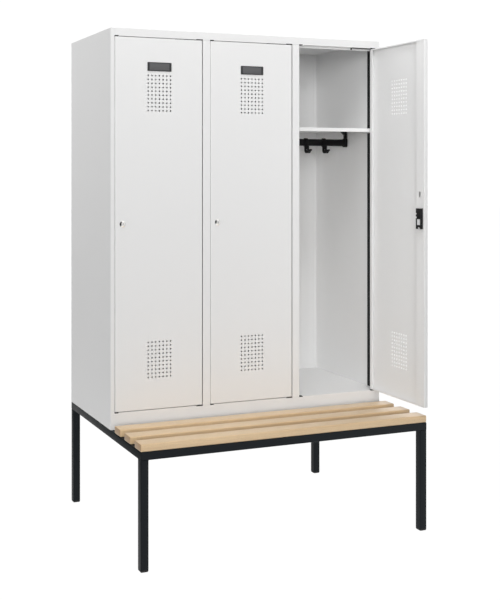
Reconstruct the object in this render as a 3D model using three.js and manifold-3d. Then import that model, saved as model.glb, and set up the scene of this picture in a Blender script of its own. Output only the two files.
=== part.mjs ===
// A cloakroom locker with three doors on a tube underframe, with a slatted bench in front.
// Millimetres, +Z up. X runs to the right, Y runs to the back, and the floor is at zero.
// The right-hand door stands open, and the other two are closed.

import * as THREE from 'three';
import { mergeVertices } from 'three/addons/utils/BufferGeometryUtils.js';
import Module from 'manifold-3d';

const wasm = await Module();
wasm.setup();

// Driving dimensions of the whole
const bodyWidth = 1200;
const bodyDepth = 500;
const overallHeight = 1950;
const frameHeight = 422;
const benchReach = 315;
const sides = ['left', 'middle', 'right'];
const openSide = 'right';
const openAngle = 90;

// Fits that the whole object shares
const seam = 0.2;
const running = 0.4;
const overrun = 2;
const roundSides = 16;
const smallRoundSides = 12;

// Underframe
const tube = 30;
const tubeWall = 2;
const tubeCorner = 3;
const cornerSteps = 2;
const glideHeight = 8;
const glidePlug = 15;
const glideBevel = 2;

// Bench
const slatWidth = 62;
const slatThickness = 27;
const slatRound = 4;
const slatNames = ['rear', 'middle', 'front'];

// Body sheets
const sheet = 1;
const stileFlange = 16;
const stileDepth = 18;
const stopLip = 8;
const rearFlange = 16;
const headerHeight = 30;
const headerDepth = 21;
const headerStop = 9;
const plinthHeight = 64;
const plinthFoot = 25;

// Gaps and notches at the corners of each door opening
const doorGap = 2.5;
const notchHeight = 2;
const lockNotch = 16;
const hingeNotch = 28;
const slotLength = 90;
const slotWidth = 3;
const slotFromFace = 2;
const slotFromPivot = 12;

// Hat shelf
const shelfHeight = 1585;
const shelfFront = 22;
const shelfLip = 15;
const shelfFold = 8;
const shelfGap = 0.5;

// Coat rail and its end brackets
const railCentreHeight = 1530.5;
const railCentreDepth = 242;
const railHeight = 30;
const railThickness = 15;
const railWall = 1.2;
const ovalSteps = 3;
const bracketThickness = 14;
const bracketRim = 4;
const bracketFoot = 26;
const bracketFootThickness = 5;
const bracketFlare = 14;
const bracketSocket = 10;
const bracketGap = 3;

// Sliding coat hooks
const hooksPerRail = 3;
const hookPitch = 90;
const hookOffset = -10;
const hookWidth = 14;
const hookWall = 3.5;
const hookStemWidth = 20;
const hookStemWall = 6;
const hookDrop = 19;
const hookRound = 10;
const hookReach = 20;
const hookRise = 11;
const hookBendSteps = 5;
const hookBendShare = 0.8;

// Door pan
const doorThickness = 16;
const doorHingeLip = 16;
const doorEndLip = 6;
const pivotInset = 8;
const pivotDepth = 5.5;
const pivotRadius = 3;
const pivotLength = 6;

// Ventilation fields
const ventColumns = 7;
const ventRows = 10;
const ventColumnPitch = 15.5;
const ventRowPitch = 15;
const ventHole = 3;
const ventSides = 4;
const upperVentDrop = 212;
const lowerVentRise = 190.5;

// Lock-side stiffener
const stiffenerWidth = 50;
const stiffenerSlotLength = 23;
const stiffenerSlotWidth = 10;
const stiffenerSlotRise = 111;

// Lock
const lockInset = 30;
const rosetteRadius = 10.5;
const rosetteThickness = 4.5;
const barrelRadius = 9;
const barrelStandBack = 2.2;
const plugRadius = 6;
const plugStandOut = 0.8;
const keySlotLength = 8;
const keySlotWidth = 1.6;
const keySlotDepth = 3;
const camRadius = 9;
const camWidth = 7;
const camThickness = 1.2;
const caseInset = 10;
const caseWidth = 28;
const caseThickness = 12;
const caseBelow = 23;
const caseAbove = 59;
const camPocketRadius = 12;
const camPocketDepth = 4.5;
const boltInset = 9;
const boltLength = 26;
const boltThickness = 3;
const boltBelow = 7;
const boltAbove = 19;
const caseWindowInset = 4;
const caseWindowWidth = 16;
const caseNotchDepth = 4;
const caseNotchHeight = 5;
const caseNotchRises = [22, 36];
const caseFootNotchWidth = 10;
const caseFootNotchHeight = 4;

// Label holder
const labelWidth = 100;
const labelHeight = 34;
const labelThickness = 2.5;
const labelRim = 3;
const labelGrip = 8;
const labelPocket = 1;
const labelDrop = 93;

// Sizes that follow
const half = bodyWidth / 2;
const pitch = bodyWidth / sides.length;
const openingWidth = pitch - 2 * stileFlange;
const openingBottom = frameHeight + plinthHeight;
const openingTop = overallHeight - headerHeight;
const doorWidth = openingWidth - 2 * doorGap;
const doorBottom = openingBottom + doorGap;
const doorTop = openingTop - doorGap;
const lockHeight = (doorTop + doorBottom) / 2;
const backFront = bodyDepth - sheet;
const sheetBack = backFront - seam;
const dividerBack = sheetBack - sheet - seam;
const stiffenerBack = doorThickness - sheet - seam;
const barrelEnd = stiffenerBack + barrelStandBack;
const caseFront = stiffenerBack + seam;
const boltFront = caseFront + camPocketDepth + seam;
const doorReach = doorWidth - pivotInset - pivotDepth;
const boxFront = -Math.max(benchReach, doorReach);
const boxMiddle = (bodyDepth + boxFront) / 2;
const slatGap = (benchReach - slatNames.length * slatWidth) / slatNames.length;

// Finishes
function finish(color, roughness, metalness) {
  return new THREE.MeshStandardMaterial({ color, roughness, metalness });
}

const finishes = {
  lightGreyPaint: finish(0xdcdddd, 0.5, 0),
  anthracitePaint: finish(0x2b2f33, 0.5, 0),
  beech: finish(0xd8b98c, 0.55, 0),
  blackPlastic: finish(0x1b1b1c, 0.55, 0),
  blackPaint: finish(0x1d1d1f, 0.45, 0),
  nickel: finish(0xc4c4c2, 0.3, 1),
  darkGreyPlastic: finish(0x5f6062, 0.5, 0),
};

const locker = new THREE.Group();
locker.position.y = -boxMiddle;

// Solids and geometries

const unitX = new THREE.Vector3(1, 0, 0);
const unitY = new THREE.Vector3(0, 1, 0);
const unitZ = new THREE.Vector3(0, 0, 1);
const turnToX = new THREE.Matrix4().makeBasis(unitY, unitZ, unitX);
const turnToY = new THREE.Matrix4().makeBasis(unitZ, unitX, unitY);

function solidOf(geometry) {
  const bare = geometry.clone();
  bare.deleteAttribute('normal');
  bare.deleteAttribute('uv');
  const merged = mergeVertices(bare);
  const vertProperties = new Float32Array(merged.attributes.position.array);
  const triVerts = new Uint32Array(merged.index.array);
  return new wasm.Manifold(new wasm.Mesh({ numProp: 3, vertProperties, triVerts }));
}

function geometryOf(solid) {
  const mesh = solid.getMesh();
  const geometry = new THREE.BufferGeometry();
  geometry.setAttribute('position', new THREE.BufferAttribute(new Float32Array(mesh.vertProperties), 3));
  geometry.setIndex(new THREE.BufferAttribute(new Uint32Array(mesh.triVerts), 1));
  geometry.computeVertexNormals();
  return geometry;
}

function piece(parent, name, shape, material) {
  const geometry = shape.isBufferGeometry ? shape : geometryOf(shape);
  const mesh = new THREE.Mesh(geometry, material);
  mesh.material.flatShading = true;
  mesh.name = name;
  parent.add(mesh);
  return mesh;
}

function block(x, y, z) {
  const box = new THREE.BoxGeometry(1, 1, 1);
  const position = box.attributes.position;
  for (let i = 0; i < position.count; i += 1) {
    const ends = [position.getX(i), position.getY(i), position.getZ(i)].map((place) => (place > 0 ? 1 : 0));
    position.setXYZ(i, x[ends[0]], y[ends[1]], z[ends[2]]);
  }
  return box;
}

function blockSolid(x, y, z) {
  return solidOf(block(x, y, z));
}

// The lower and the higher of two places
const span = (a, b) => [Math.min(a, b), Math.max(a, b)];

// A shape drawn in X and Y, standing between two heights
function standing(shape, heights, curveSegments = cornerSteps) {
  const geometry = new THREE.ExtrudeGeometry(shape, { depth: 1, bevelEnabled: false, curveSegments });
  const position = geometry.attributes.position;
  for (let i = 0; i < position.count; i += 1) {
    position.setZ(i, heights[position.getZ(i) > 0 ? 1 : 0]);
  }
  return geometry;
}

// A shape drawn in Y and Z, running between two places on X
function alongX(shape, ends, curveSegments = cornerSteps) {
  return standing(shape, ends, curveSegments).applyMatrix4(turnToX);
}

// A shape drawn in Z and X, running between two places on Y
function alongY(shape, ends, curveSegments = cornerSteps) {
  return standing(shape, ends, curveSegments).applyMatrix4(turnToY);
}

// A round bar along Y, centred on a place in X and Z
function roundAlongY(radius, x, [y0, y1], z, segments = roundSides) {
  return new THREE.CylinderGeometry(radius, radius, y1 - y0, segments).translate(x, (y0 + y1) / 2, z);
}

// A round bar along Z, centred on a place in X and Y
function roundAlongZ(radius, x, y, [z0, z1], segments = smallRoundSides) {
  const bar = new THREE.CylinderGeometry(radius, radius, z1 - z0, segments).rotateX(Math.PI / 2);
  return bar.translate(x, y, (z0 + z1) / 2);
}

// Outline of a folded sheet: the path is one face of it, and the sheet lies on the path's left
function foldedSheet(path, thickness = sheet) {
  const points = path.map(([u, v]) => new THREE.Vector2(u, v));
  const legs = points.slice(1).map((point, i) => point.clone().sub(points[i]).normalize());
  const normals = legs.map((leg) => new THREE.Vector2(-leg.y, leg.x));
  const inner = points.map((point, i) => {
    const before = normals[Math.max(i - 1, 0)];
    const after = normals[Math.min(i, normals.length - 1)];
    const sum = before.clone().add(after);
    return point.clone().add(sum.multiplyScalar(thickness / (1 + before.dot(after))));
  });
  return new THREE.Shape([...points, ...inner.reverse()]);
}

// Rectangle centred on the origin with round corners, as a path that starts on its lower edge
function roundedPath(path, width, height, radius) {
  const right = width / 2 - radius;
  const top = height / 2 - radius;
  path.absarc(right, -top, radius, -Math.PI / 2, 0);
  path.absarc(right, top, radius, 0, Math.PI / 2);
  path.absarc(-right, top, radius, Math.PI / 2, Math.PI);
  path.absarc(-right, -top, radius, Math.PI, Math.PI * 3 / 2);
  path.closePath();
  return path;
}

function roundedRectangle(width, height, radius) {
  return roundedPath(new THREE.Shape(), width, height, radius);
}

// Section of a hollow bar with round corners
function hollowSection(width, height, radius, wall) {
  const section = roundedRectangle(width, height, radius);
  const inside = new THREE.Vector2(width, height).divideScalar(2).subScalar(wall);
  section.holes.push(rectangle(-inside.x, inside.x, -inside.y, inside.y, new THREE.Path()));
  return section;
}

function rectangle(u0, u1, v0, v1, path = new THREE.Shape()) {
  path.moveTo(u0, v0);
  path.lineTo(u1, v0);
  path.lineTo(u1, v1);
  path.lineTo(u0, v1);
  path.closePath();
  return path;
}

// Underframe

const tubeSection = () => hollowSection(tube, tube, tubeCorner, tubeWall);
const railMiddle = frameHeight - tube / 2;

// Cuts the ends of a rail to a mitre: the rail gets shorter with the distance from its outer face
function mitre(geometry, lengthAxis, widthAxis, outerFace, ends) {
  const position = geometry.attributes.position;
  const point = new THREE.Vector3();
  for (let i = 0; i < position.count; i += 1) {
    point.fromBufferAttribute(position, i);
    const inward = Math.abs(point[widthAxis] - outerFace) + seam;
    const atStart = Math.abs(point[lengthAxis] - ends[0]) < Math.abs(point[lengthAxis] - ends[1]);
    point[lengthAxis] = atStart ? ends[0] + inward : ends[1] - inward;
    position.setXYZ(i, point.x, point.y, point.z);
  }
  return geometry;
}

function buildUnderframe() {
  const frame = new THREE.Group();
  locker.add(frame);
  const acrossEnds = [-half, half];
  const deepEnds = [-benchReach, bodyDepth];
  for (const [name, face, inward] of [['front', -benchReach, 1], ['rear', bodyDepth, -1]]) {
    const bar = alongX(tubeSection(), acrossEnds).translate(0, face + inward * tube / 2, railMiddle);
    piece(frame, `frame_rail_${name}`, mitre(bar, 'x', 'y', face, acrossEnds), finishes.anthracitePaint);
  }
  for (const [name, face, inward] of [['left', -half, 1], ['right', half, -1]]) {
    const bar = alongY(tubeSection(), deepEnds).translate(face + inward * tube / 2, 0, railMiddle);
    piece(frame, `frame_rail_${name}`, mitre(bar, 'y', 'x', face, deepEnds), finishes.anthracitePaint);
  }
  const crossEnd = half - tube - seam;
  const cross = alongX(tubeSection(), [-crossEnd, crossEnd]).translate(0, tube / 2, railMiddle);
  piece(frame, 'frame_cross_bar', cross, finishes.anthracitePaint);
  for (const [across, x] of [['left', -half + tube / 2], ['right', half - tube / 2]]) {
    for (const [along, y] of [['front', -benchReach + tube / 2], ['rear', bodyDepth - tube / 2]]) {
      const leg = standing(tubeSection(), [glideHeight + seam, frameHeight - tube - seam]);
      piece(frame, `frame_leg_${along}_${across}`, leg.translate(x, y, 0), finishes.anthracitePaint);
      piece(frame, `foot_glide_${along}_${across}`, footGlide().translate([x, y, 0]), finishes.blackPlastic);
    }
  }
}

function footGlide() {
  const flange = roundedRectangle(tube - 2 * glideBevel, tube - 2 * glideBevel, tubeCorner);
  const base = new THREE.ExtrudeGeometry(flange, {
    depth: glideHeight - 2 * glideBevel,
    bevelThickness: glideBevel,
    bevelSize: glideBevel,
    bevelSegments: 1,
    curveSegments: cornerSteps,
  }).translate(0, 0, glideBevel);
  const inside = tube - 2 * tubeWall - 2 * running;
  const plugHeights = [glideHeight / 2, glideHeight + glidePlug];
  const plug = standing(roundedRectangle(inside, inside, tubeCorner), plugHeights);
  return solidOf(base).add(solidOf(plug));
}

// Bench

function buildBench() {
  const bench = new THREE.Group();
  locker.add(bench);
  slatNames.forEach((name, i) => {
    const inner = roundedRectangle(slatWidth - 2 * slatRound, slatThickness - 2 * slatRound, slatRound);
    const slat = new THREE.ExtrudeGeometry(inner, {
      depth: bodyWidth - 2 * slatRound,
      bevelThickness: slatRound,
      bevelSize: slatRound,
      bevelSegments: 2,
      curveSegments: cornerSteps,
    });
    slat.applyMatrix4(turnToX);
    const middle = -(slatGap + slatWidth) * (i + 1) + slatWidth / 2;
    slat.translate(-half + slatRound, middle, frameHeight + seam + slatThickness / 2);
    piece(bench, `bench_slat_${name}`, slat, finishes.beech);
  });
}

// Body

// The part of a stile that runs back on the lock side of an opening, with its lip behind the door
function stileReturn(openingEdge) {
  const face = openingEdge - seam - sheet;
  const fold = foldedSheet([
    [openingEdge + stopLip, stileDepth + sheet],
    [face, stileDepth + sheet],
    [face, sheet / 2],
  ]);
  return solidOf(standing(fold, [openingBottom + 3 * seam, openingTop - 3 * seam]));
}

function sidePanel(side) {
  const outward = side === 'left' ? -1 : 1;
  const wall = [
    [outward * (half - rearFlange), sheetBack],
    [outward * half, sheetBack],
    [outward * half, 0],
    [outward * (half - stileFlange), 0],
  ];
  const fold = foldedSheet(side === 'left' ? wall : wall.reverse());
  const panel = solidOf(standing(fold, [frameHeight + seam, overallHeight]));
  return side === 'left' ? panel.add(stileReturn(-half + stileFlange)) : panel;
}

// A divider stands between the floor and the top, with the middle stile on its front edge
function divider(x) {
  const web = foldedSheet([
    [x + rearFlange, dividerBack],
    [x - sheet / 2, dividerBack],
    [x - sheet / 2, sheet / 2],
  ]);
  const webSolid = solidOf(standing(web, [openingBottom + seam, overallHeight - sheet - seam]));
  const stile = blockSolid(
    [x - stileFlange, x + stileFlange],
    [0, sheet],
    [openingBottom + 2 * seam, openingTop - 2 * seam],
  );
  const headerNotch = blockSolid(
    [x - stileFlange, x + stileFlange],
    [-overrun, headerDepth + sheet + seam],
    [openingTop - headerStop - seam, overallHeight],
  );
  return webSolid.subtract(headerNotch).add(stile).add(stileReturn(x + stileFlange));
}

const openingLeft = (index) => -half + pitch * index + stileFlange;
const openingRight = (index) => openingLeft(index) + openingWidth;
const pivotX = (index) => openingRight(index) - doorGap - pivotInset;

// Cuts the slot, the notches and the pivot hole that each opening has in the sheet above or below it
function openingCuts(edge, upward, withSlot) {
  const cuts = [];
  sides.forEach((_, i) => {
    const heights = span(edge - upward * overrun, edge + upward * notchHeight);
    const face = [-overrun, sheet + seam];
    cuts.push(blockSolid([openingLeft(i), openingLeft(i) + lockNotch], face, heights));
    cuts.push(blockSolid([openingRight(i) - hingeNotch, openingRight(i)], face, heights));
    const through = [edge - overrun, edge + overrun];
    cuts.push(solidOf(roundAlongZ(pivotRadius + running, pivotX(i), pivotDepth, through)));
    if (withSlot) {
      const slotEnd = pivotX(i) - slotFromPivot;
      const slotFront = sheet + slotFromFace;
      cuts.push(blockSolid([slotEnd - slotLength, slotEnd], [slotFront, slotFront + slotWidth], through));
    }
  });
  return cuts;
}

// A folded panel between the two side panels
// Its flat sheet reaches their walls, and its folds end at their flanges
function panelBetweenSides(profile, sheetTop) {
  const insideWall = half - sheet - seam;
  const flangeEdge = half - stileFlange - seam;
  const front = sheet + seam;
  const rear = sheetBack - sheet - seam;
  const sheetUnder = sheetTop - sheet - seam;
  const below = sheetTop - bodyDepth;
  const above = sheetTop + overrun;
  const around = new THREE.Shape([
    [-overrun, below],
    [bodyDepth, below],
    [bodyDepth, above],
    [rear, above],
    [rear, sheetUnder],
    [front, sheetUnder],
    [front, above],
    [-overrun, above],
  ].map(([y, z]) => new THREE.Vector2(y, z)));
  let panel = solidOf(alongX(profile, [-insideWall, insideWall]));
  for (const ends of [[-half, -flangeEdge], [flangeEdge, half]]) {
    panel = panel.subtract(solidOf(alongX(around, ends)));
  }
  return panel;
}

function topPanel() {
  const profile = foldedSheet([
    [sheetBack, overallHeight - rearFlange],
    [sheetBack, overallHeight],
    [0, overallHeight],
    [0, openingTop],
    [headerDepth, openingTop],
    [headerDepth, openingTop - headerStop],
  ]);
  const panel = panelBetweenSides(profile, overallHeight);
  return openingCuts(openingTop, 1, true).reduce((solid, cut) => solid.subtract(cut), panel);
}

function bottomPanel() {
  const profile = foldedSheet([
    [sheetBack - plinthFoot, frameHeight + seam],
    [sheetBack, frameHeight + seam],
    [sheetBack, openingBottom],
    [0, openingBottom],
    [0, frameHeight + seam],
    [plinthFoot, frameHeight + seam],
  ]);
  const panel = panelBetweenSides(profile, openingBottom);
  return openingCuts(openingBottom, -1, false).reduce((solid, cut) => solid.subtract(cut), panel);
}

const innerLeft = (index) => -half + pitch * index + (index === 0 ? sheet : sheet / 2);
const innerRight = (index) => -innerLeft(sides.length - 1 - index);

function hatShelf(index) {
  const left = innerLeft(index) + shelfGap;
  const right = innerRight(index) - shelfGap;
  const rear = dividerBack - sheet - shelfGap;
  const under = shelfHeight - shelfLip;
  const profile = foldedSheet([
    [rear, under],
    [rear, shelfHeight],
    [shelfFront, shelfHeight],
    [shelfFront, under],
    [shelfFront + shelfFold, under],
  ]);
  const lipDepths = [shelfFront + sheet / 2, rear - sheet / 2];
  const lipHeights = [under + sheet / 2, shelfHeight - sheet / 2];
  return solidOf(alongX(profile, [left + sheet / 2, right - sheet / 2]))
    .add(blockSolid([left, left + sheet], lipDepths, lipHeights))
    .add(blockSolid([right - sheet, right], lipDepths, lipHeights));
}

// Outline of the coat rail's oval, made larger or smaller all round
function railOval(growth) {
  const thickness = railThickness + 2 * growth;
  return roundedRectangle(thickness, railHeight + 2 * growth, thickness / 2);
}

// A solid of that oval along the rail's axis
function railSolid(growth, ends) {
  return solidOf(alongX(railOval(growth), ends, ovalSteps).translate(0, railCentreDepth, railCentreHeight));
}

// End bracket of a coat rail: an arm that hangs from the shelf, with a foot that widens away from the wall
function railBracket(wallX, inward) {
  const bottom = railCentreHeight - railHeight / 2 - bracketRim;
  const top = shelfHeight - sheet - seam;
  const depth = railThickness + 2 * bracketRim;
  const outline = new THREE.Shape([
    [bottom, wallX],
    [bottom, wallX + inward * bracketThickness],
    [top - bracketFlare, wallX + inward * bracketThickness],
    [top - bracketFootThickness, wallX + inward * bracketFoot],
    [top, wallX + inward * bracketFoot],
    [top, wallX],
  ].map(([z, x]) => new THREE.Vector2(z, x)));
  return solidOf(alongY(outline, [railCentreDepth - depth / 2, railCentreDepth + depth / 2]));
}

// Coat rail: an oval tube with an end bracket joined to each end
function coatRail(index) {
  const left = innerLeft(index) + bracketGap;
  const right = innerRight(index) - bracketGap;
  const seat = bracketThickness - bracketSocket;
  return railSolid(0, [left + seat, right - seat])
    .add(railBracket(left, 1))
    .add(railBracket(right, -1))
    .subtract(railSolid(-railWall, [left - overrun, right + overrun]));
}

// Outline of a strip with a round end, which follows a line of points in Y and Z
function stripOutline(line, halfWidth) {
  const left = [];
  const right = [];
  line.forEach((point, i) => {
    const before = line[Math.max(i - 1, 0)];
    const after = line[Math.min(i + 1, line.length - 1)];
    const along = after.clone().sub(before).normalize();
    const sideways = new THREE.Vector2(-along.y, along.x).multiplyScalar(halfWidth);
    left.push(point.clone().add(sideways));
    right.push(point.clone().sub(sideways));
  });
  const end = line[line.length - 1];
  const direction = end.clone().sub(line[line.length - 2]).normalize();
  const tip = end.clone().add(direction.multiplyScalar(halfWidth));
  return new THREE.Shape([...left, tip, ...right.reverse()]);
}

// Coat hook: a collar that slides on the rail, a stem in front of it and a prong that turns up
function coatHook() {
  const outerDepth = railThickness + 2 * (running + hookWall);
  const collar = railOval(running + hookWall);
  const hole = railOval(running);
  const ringEnds = [-hookWidth / 2, hookWidth / 2];
  const holeEnds = [-hookWidth / 2 - overrun, hookWidth / 2 + overrun];
  const stemY = -outerDepth / 2 + hookStemWall / 2 - seam;
  const stemTop = -railHeight / 2;
  const bendTop = stemTop - hookDrop;
  const bendMiddle = stemY - hookRound;
  const line = [new THREE.Vector2(stemY, stemTop)];
  for (let i = 0; i <= hookBendSteps; i += 1) {
    const angle = -Math.PI * hookBendShare * i / hookBendSteps;
    const around = new THREE.Vector2(Math.cos(angle), Math.sin(angle)).multiplyScalar(hookRound);
    line.push(around.add(new THREE.Vector2(bendMiddle, bendTop)));
  }
  line.push(new THREE.Vector2(bendMiddle - hookReach, bendTop - hookRound + hookRise));
  const stem = stripOutline(line, hookStemWall / 2);
  return solidOf(alongX(collar, ringEnds, ovalSteps))
    .add(solidOf(alongX(stem, [-hookStemWidth / 2, hookStemWidth / 2])))
    .subtract(solidOf(alongX(hole, holeEnds, ovalSteps)));
}

function buildBody() {
  const body = new THREE.Group();
  locker.add(body);
  const grey = finishes.lightGreyPaint;
  piece(body, 'side_panel_left', sidePanel('left'), grey);
  piece(body, 'side_panel_right', sidePanel('right'), grey);
  piece(body, 'divider_left', divider(-half + pitch), grey);
  piece(body, 'divider_right', divider(half - pitch), grey);
  const back = block([-half, half], [backFront, bodyDepth], [frameHeight + seam, overallHeight]);
  piece(body, 'back_panel', back, grey);
  piece(body, 'top_panel', topPanel(), grey);
  piece(body, 'bottom_panel', bottomPanel(), grey);
  sides.forEach((side, i) => {
    piece(body, `hat_shelf_${side}`, hatShelf(i), grey);
    piece(body, `coat_rail_${side}`, coatRail(i), finishes.blackPaint);
    const middle = -half + pitch * (i + 1 / 2) + hookOffset;
    for (let n = 0; n < hooksPerRail; n += 1) {
      const x = middle + hookPitch * (n - (hooksPerRail - 1) / 2);
      const hook = piece(body, `coat_hook_${side}_${n + 1}`, coatHook(), finishes.blackPlastic);
      hook.position.set(x, railCentreDepth, railCentreHeight);
    }
  });
}

// Doors: drawn closed, with X from the free edge towards the hinge and Y from the outer face inwards

// Ventilation holes as holes of a flat shape, in rows and columns about a centre
function addVents(shape, centreX, centreZ) {
  for (let row = 0; row < ventRows; row += 1) {
    for (let column = 0; column < ventColumns; column += 1) {
      const x = centreX + (column - (ventColumns - 1) / 2) * ventColumnPitch;
      const z = centreZ + (row - (ventRows - 1) / 2) * ventRowPitch;
      const corners = [];
      for (let n = 0; n < ventSides; n += 1) {
        const angle = -2 * Math.PI * n / ventSides;
        corners.push(new THREE.Vector2(z + ventHole * Math.cos(angle), x + ventHole * Math.sin(angle)));
      }
      shape.holes.push(new THREE.Path(corners));
    }
  }
}

// Door pan: a skin with a rim folded back all round, and a lip folded in from the rim
function doorPan() {
  const outline = rectangle(doorBottom, doorTop, 0, doorWidth);
  addVents(outline, doorWidth / 2, doorTop - upperVentDrop);
  addVents(outline, doorWidth / 2, doorBottom + lowerVentRise);
  const behindSkin = blockSolid(
    [sheet, doorWidth - sheet],
    [sheet, doorThickness - sheet],
    [doorBottom + sheet, doorTop - sheet],
  );
  const betweenLips = blockSolid(
    [doorEndLip, doorWidth - doorHingeLip],
    [doorThickness / 2, doorThickness + overrun],
    [doorBottom + doorEndLip, doorTop - doorEndLip],
  );
  const lockHole = roundAlongY(barrelRadius + running, lockInset, [-overrun, doorThickness / 2], lockHeight);
  const pan = solidOf(alongY(outline, [0, doorThickness]))
    .subtract(behindSkin)
    .subtract(betweenLips)
    .subtract(solidOf(lockHole));
  const pinX = doorWidth - pivotInset;
  const upperPin = [doorTop - sheet / 2, doorTop + pivotLength];
  const lowerPin = [doorBottom - pivotLength, doorBottom + sheet / 2];
  return pan
    .add(solidOf(roundAlongZ(pivotRadius, pinX, pivotDepth, upperPin)))
    .add(solidOf(roundAlongZ(pivotRadius, pinX, pivotDepth, lowerPin)));
}

function doorStiffener() {
  const left = sheet + seam;
  const right = stiffenerWidth + sheet;
  const profile = foldedSheet([
    [right, sheet + seam],
    [right, stiffenerBack],
    [left, stiffenerBack],
    [left, sheet + seam],
  ]);
  const solid = solidOf(standing(profile, [doorBottom + sheet + seam, doorTop - sheet - seam]));
  const through = [doorThickness / 2, doorThickness + overrun];
  const lockHole = roundAlongY(barrelRadius + running, lockInset, through, lockHeight);
  const slot = roundedRectangle(stiffenerSlotLength, stiffenerSlotWidth, stiffenerSlotWidth / 2);
  const slotSolid = alongY(slot, through, ovalSteps).translate(lockInset, 0, lockHeight + stiffenerSlotRise);
  return solid.subtract(solidOf(lockHole)).subtract(solidOf(slotSolid));
}

function lockBarrel() {
  const bore = plugRadius + running;
  const profile = [
    [bore, -rosetteThickness],
    [rosetteRadius, -rosetteThickness],
    [rosetteRadius, -seam],
    [barrelRadius, -seam],
    [barrelRadius, barrelEnd],
    [bore, barrelEnd],
    [bore, -rosetteThickness],
  ].map(([radius, depth]) => new THREE.Vector2(radius, depth));
  return new THREE.LatheGeometry(profile, roundSides).translate(lockInset, 0, lockHeight);
}

function lockPlug() {
  const front = -rosetteThickness - plugStandOut;
  const camFront = barrelEnd + seam;
  const camBack = camFront + camThickness;
  const core = solidOf(roundAlongY(plugRadius, 0, [front, camBack + seam], 0));
  const cam = blockSolid([-camWidth / 2, camWidth / 2], [camFront, camBack], [0, camRadius]);
  const keySlot = blockSolid(
    [-keySlotWidth / 2, keySlotWidth / 2],
    [front - overrun, front + keySlotDepth],
    [-keySlotLength / 2, keySlotLength / 2],
  );
  return core.add(cam).subtract(keySlot);
}

function lockCase() {
  const across = [caseInset, caseInset + caseWidth];
  const heights = [lockHeight - caseBelow, lockHeight + caseAbove];
  const back = caseFront + caseThickness;
  const channelHeights = [lockHeight - boltBelow - running, lockHeight + boltAbove + running];
  const channelDepths = [boltFront - running, boltFront + boltThickness + running];
  const windowLeft = caseInset + caseWindowInset;
  let solid = blockSolid(across, [caseFront, back], heights);
  const pocketDepths = [caseFront - overrun, caseFront + camPocketDepth];
  const pocket = roundAlongY(camPocketRadius, lockInset, pocketDepths, lockHeight);
  solid = solid.subtract(solidOf(pocket));
  solid = solid.subtract(blockSolid(
    [caseInset - overrun, boltInset + boltLength + running],
    channelDepths,
    channelHeights,
  ));
  solid = solid.subtract(blockSolid(
    [windowLeft, windowLeft + caseWindowWidth],
    [boltFront, back + overrun],
    [lockHeight - boltBelow + sheet, lockHeight + boltAbove - sheet],
  ));
  for (const rise of caseNotchRises) {
    solid = solid.subtract(blockSolid(
      [across[1] - caseNotchDepth, across[1] + overrun],
      [caseFront - overrun, back + overrun],
      [lockHeight + rise, lockHeight + rise + caseNotchHeight],
    ));
  }
  const footMiddle = caseInset + caseWidth / 2;
  return solid.subtract(blockSolid(
    [footMiddle - caseFootNotchWidth / 2, footMiddle + caseFootNotchWidth / 2],
    [caseFront - overrun, back + overrun],
    [heights[0] - overrun, heights[0] + caseFootNotchHeight],
  ));
}

function lockBolt() {
  return block(
    [boltInset, boltInset + boltLength],
    [boltFront, boltFront + boltThickness],
    [lockHeight - boltBelow, lockHeight + boltAbove],
  );
}

function labelHolder() {
  const middle = doorWidth / 2;
  const top = doorTop - labelDrop;
  const plate = blockSolid(
    [middle - labelWidth / 2, middle + labelWidth / 2],
    [-seam - labelThickness, -seam],
    [top - labelHeight, top],
  );
  const pocket = blockSolid(
    [middle - labelWidth / 2 + labelGrip, middle + labelWidth / 2 - labelGrip],
    [-seam - labelThickness - overrun, -seam - labelThickness + labelPocket],
    [top - labelHeight + labelRim, top - labelRim],
  );
  return plate.subtract(pocket);
}

function buildDoor(side, index) {
  const hinge = new THREE.Group();
  hinge.position.set(pivotX(index), pivotDepth, 0);
  hinge.rotation.z = side === openSide ? THREE.MathUtils.degToRad(openAngle) : 0;
  const door = new THREE.Group();
  door.position.set(pivotInset - doorWidth, -pivotDepth, 0);
  hinge.add(door);
  locker.add(hinge);
  piece(door, `door_skin_${side}`, doorPan(), finishes.lightGreyPaint);
  piece(door, `door_stiffener_${side}`, doorStiffener(), finishes.lightGreyPaint);
  piece(door, `lock_barrel_${side}`, lockBarrel(), finishes.nickel);
  piece(door, `lock_case_${side}`, lockCase(), finishes.blackPlastic);
  piece(door, `lock_bolt_${side}`, lockBolt(), finishes.nickel);
  piece(door, `label_holder_${side}`, labelHolder(), finishes.darkGreyPlastic);
  const plug = piece(door, `lock_plug_${side}`, lockPlug(), finishes.nickel);
  plug.position.set(lockInset, 0, lockHeight);
}

buildUnderframe();
buildBench();
buildBody();
sides.forEach(buildDoor);

export default locker;
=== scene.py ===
"""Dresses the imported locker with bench: finely modelled pieces, finishes, studio and camera.

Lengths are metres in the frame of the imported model: X to the right, Y to the back, Z up.
Inside a door, X runs from its free edge to its hinge edge, Y from its outer face inwards.
"""

import logging
import math
from collections.abc import Callable, Iterable, Sequence
from dataclasses import dataclass
from enum import Enum

import bmesh
import bpy
from mathutils import Matrix, Vector, geometry


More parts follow.
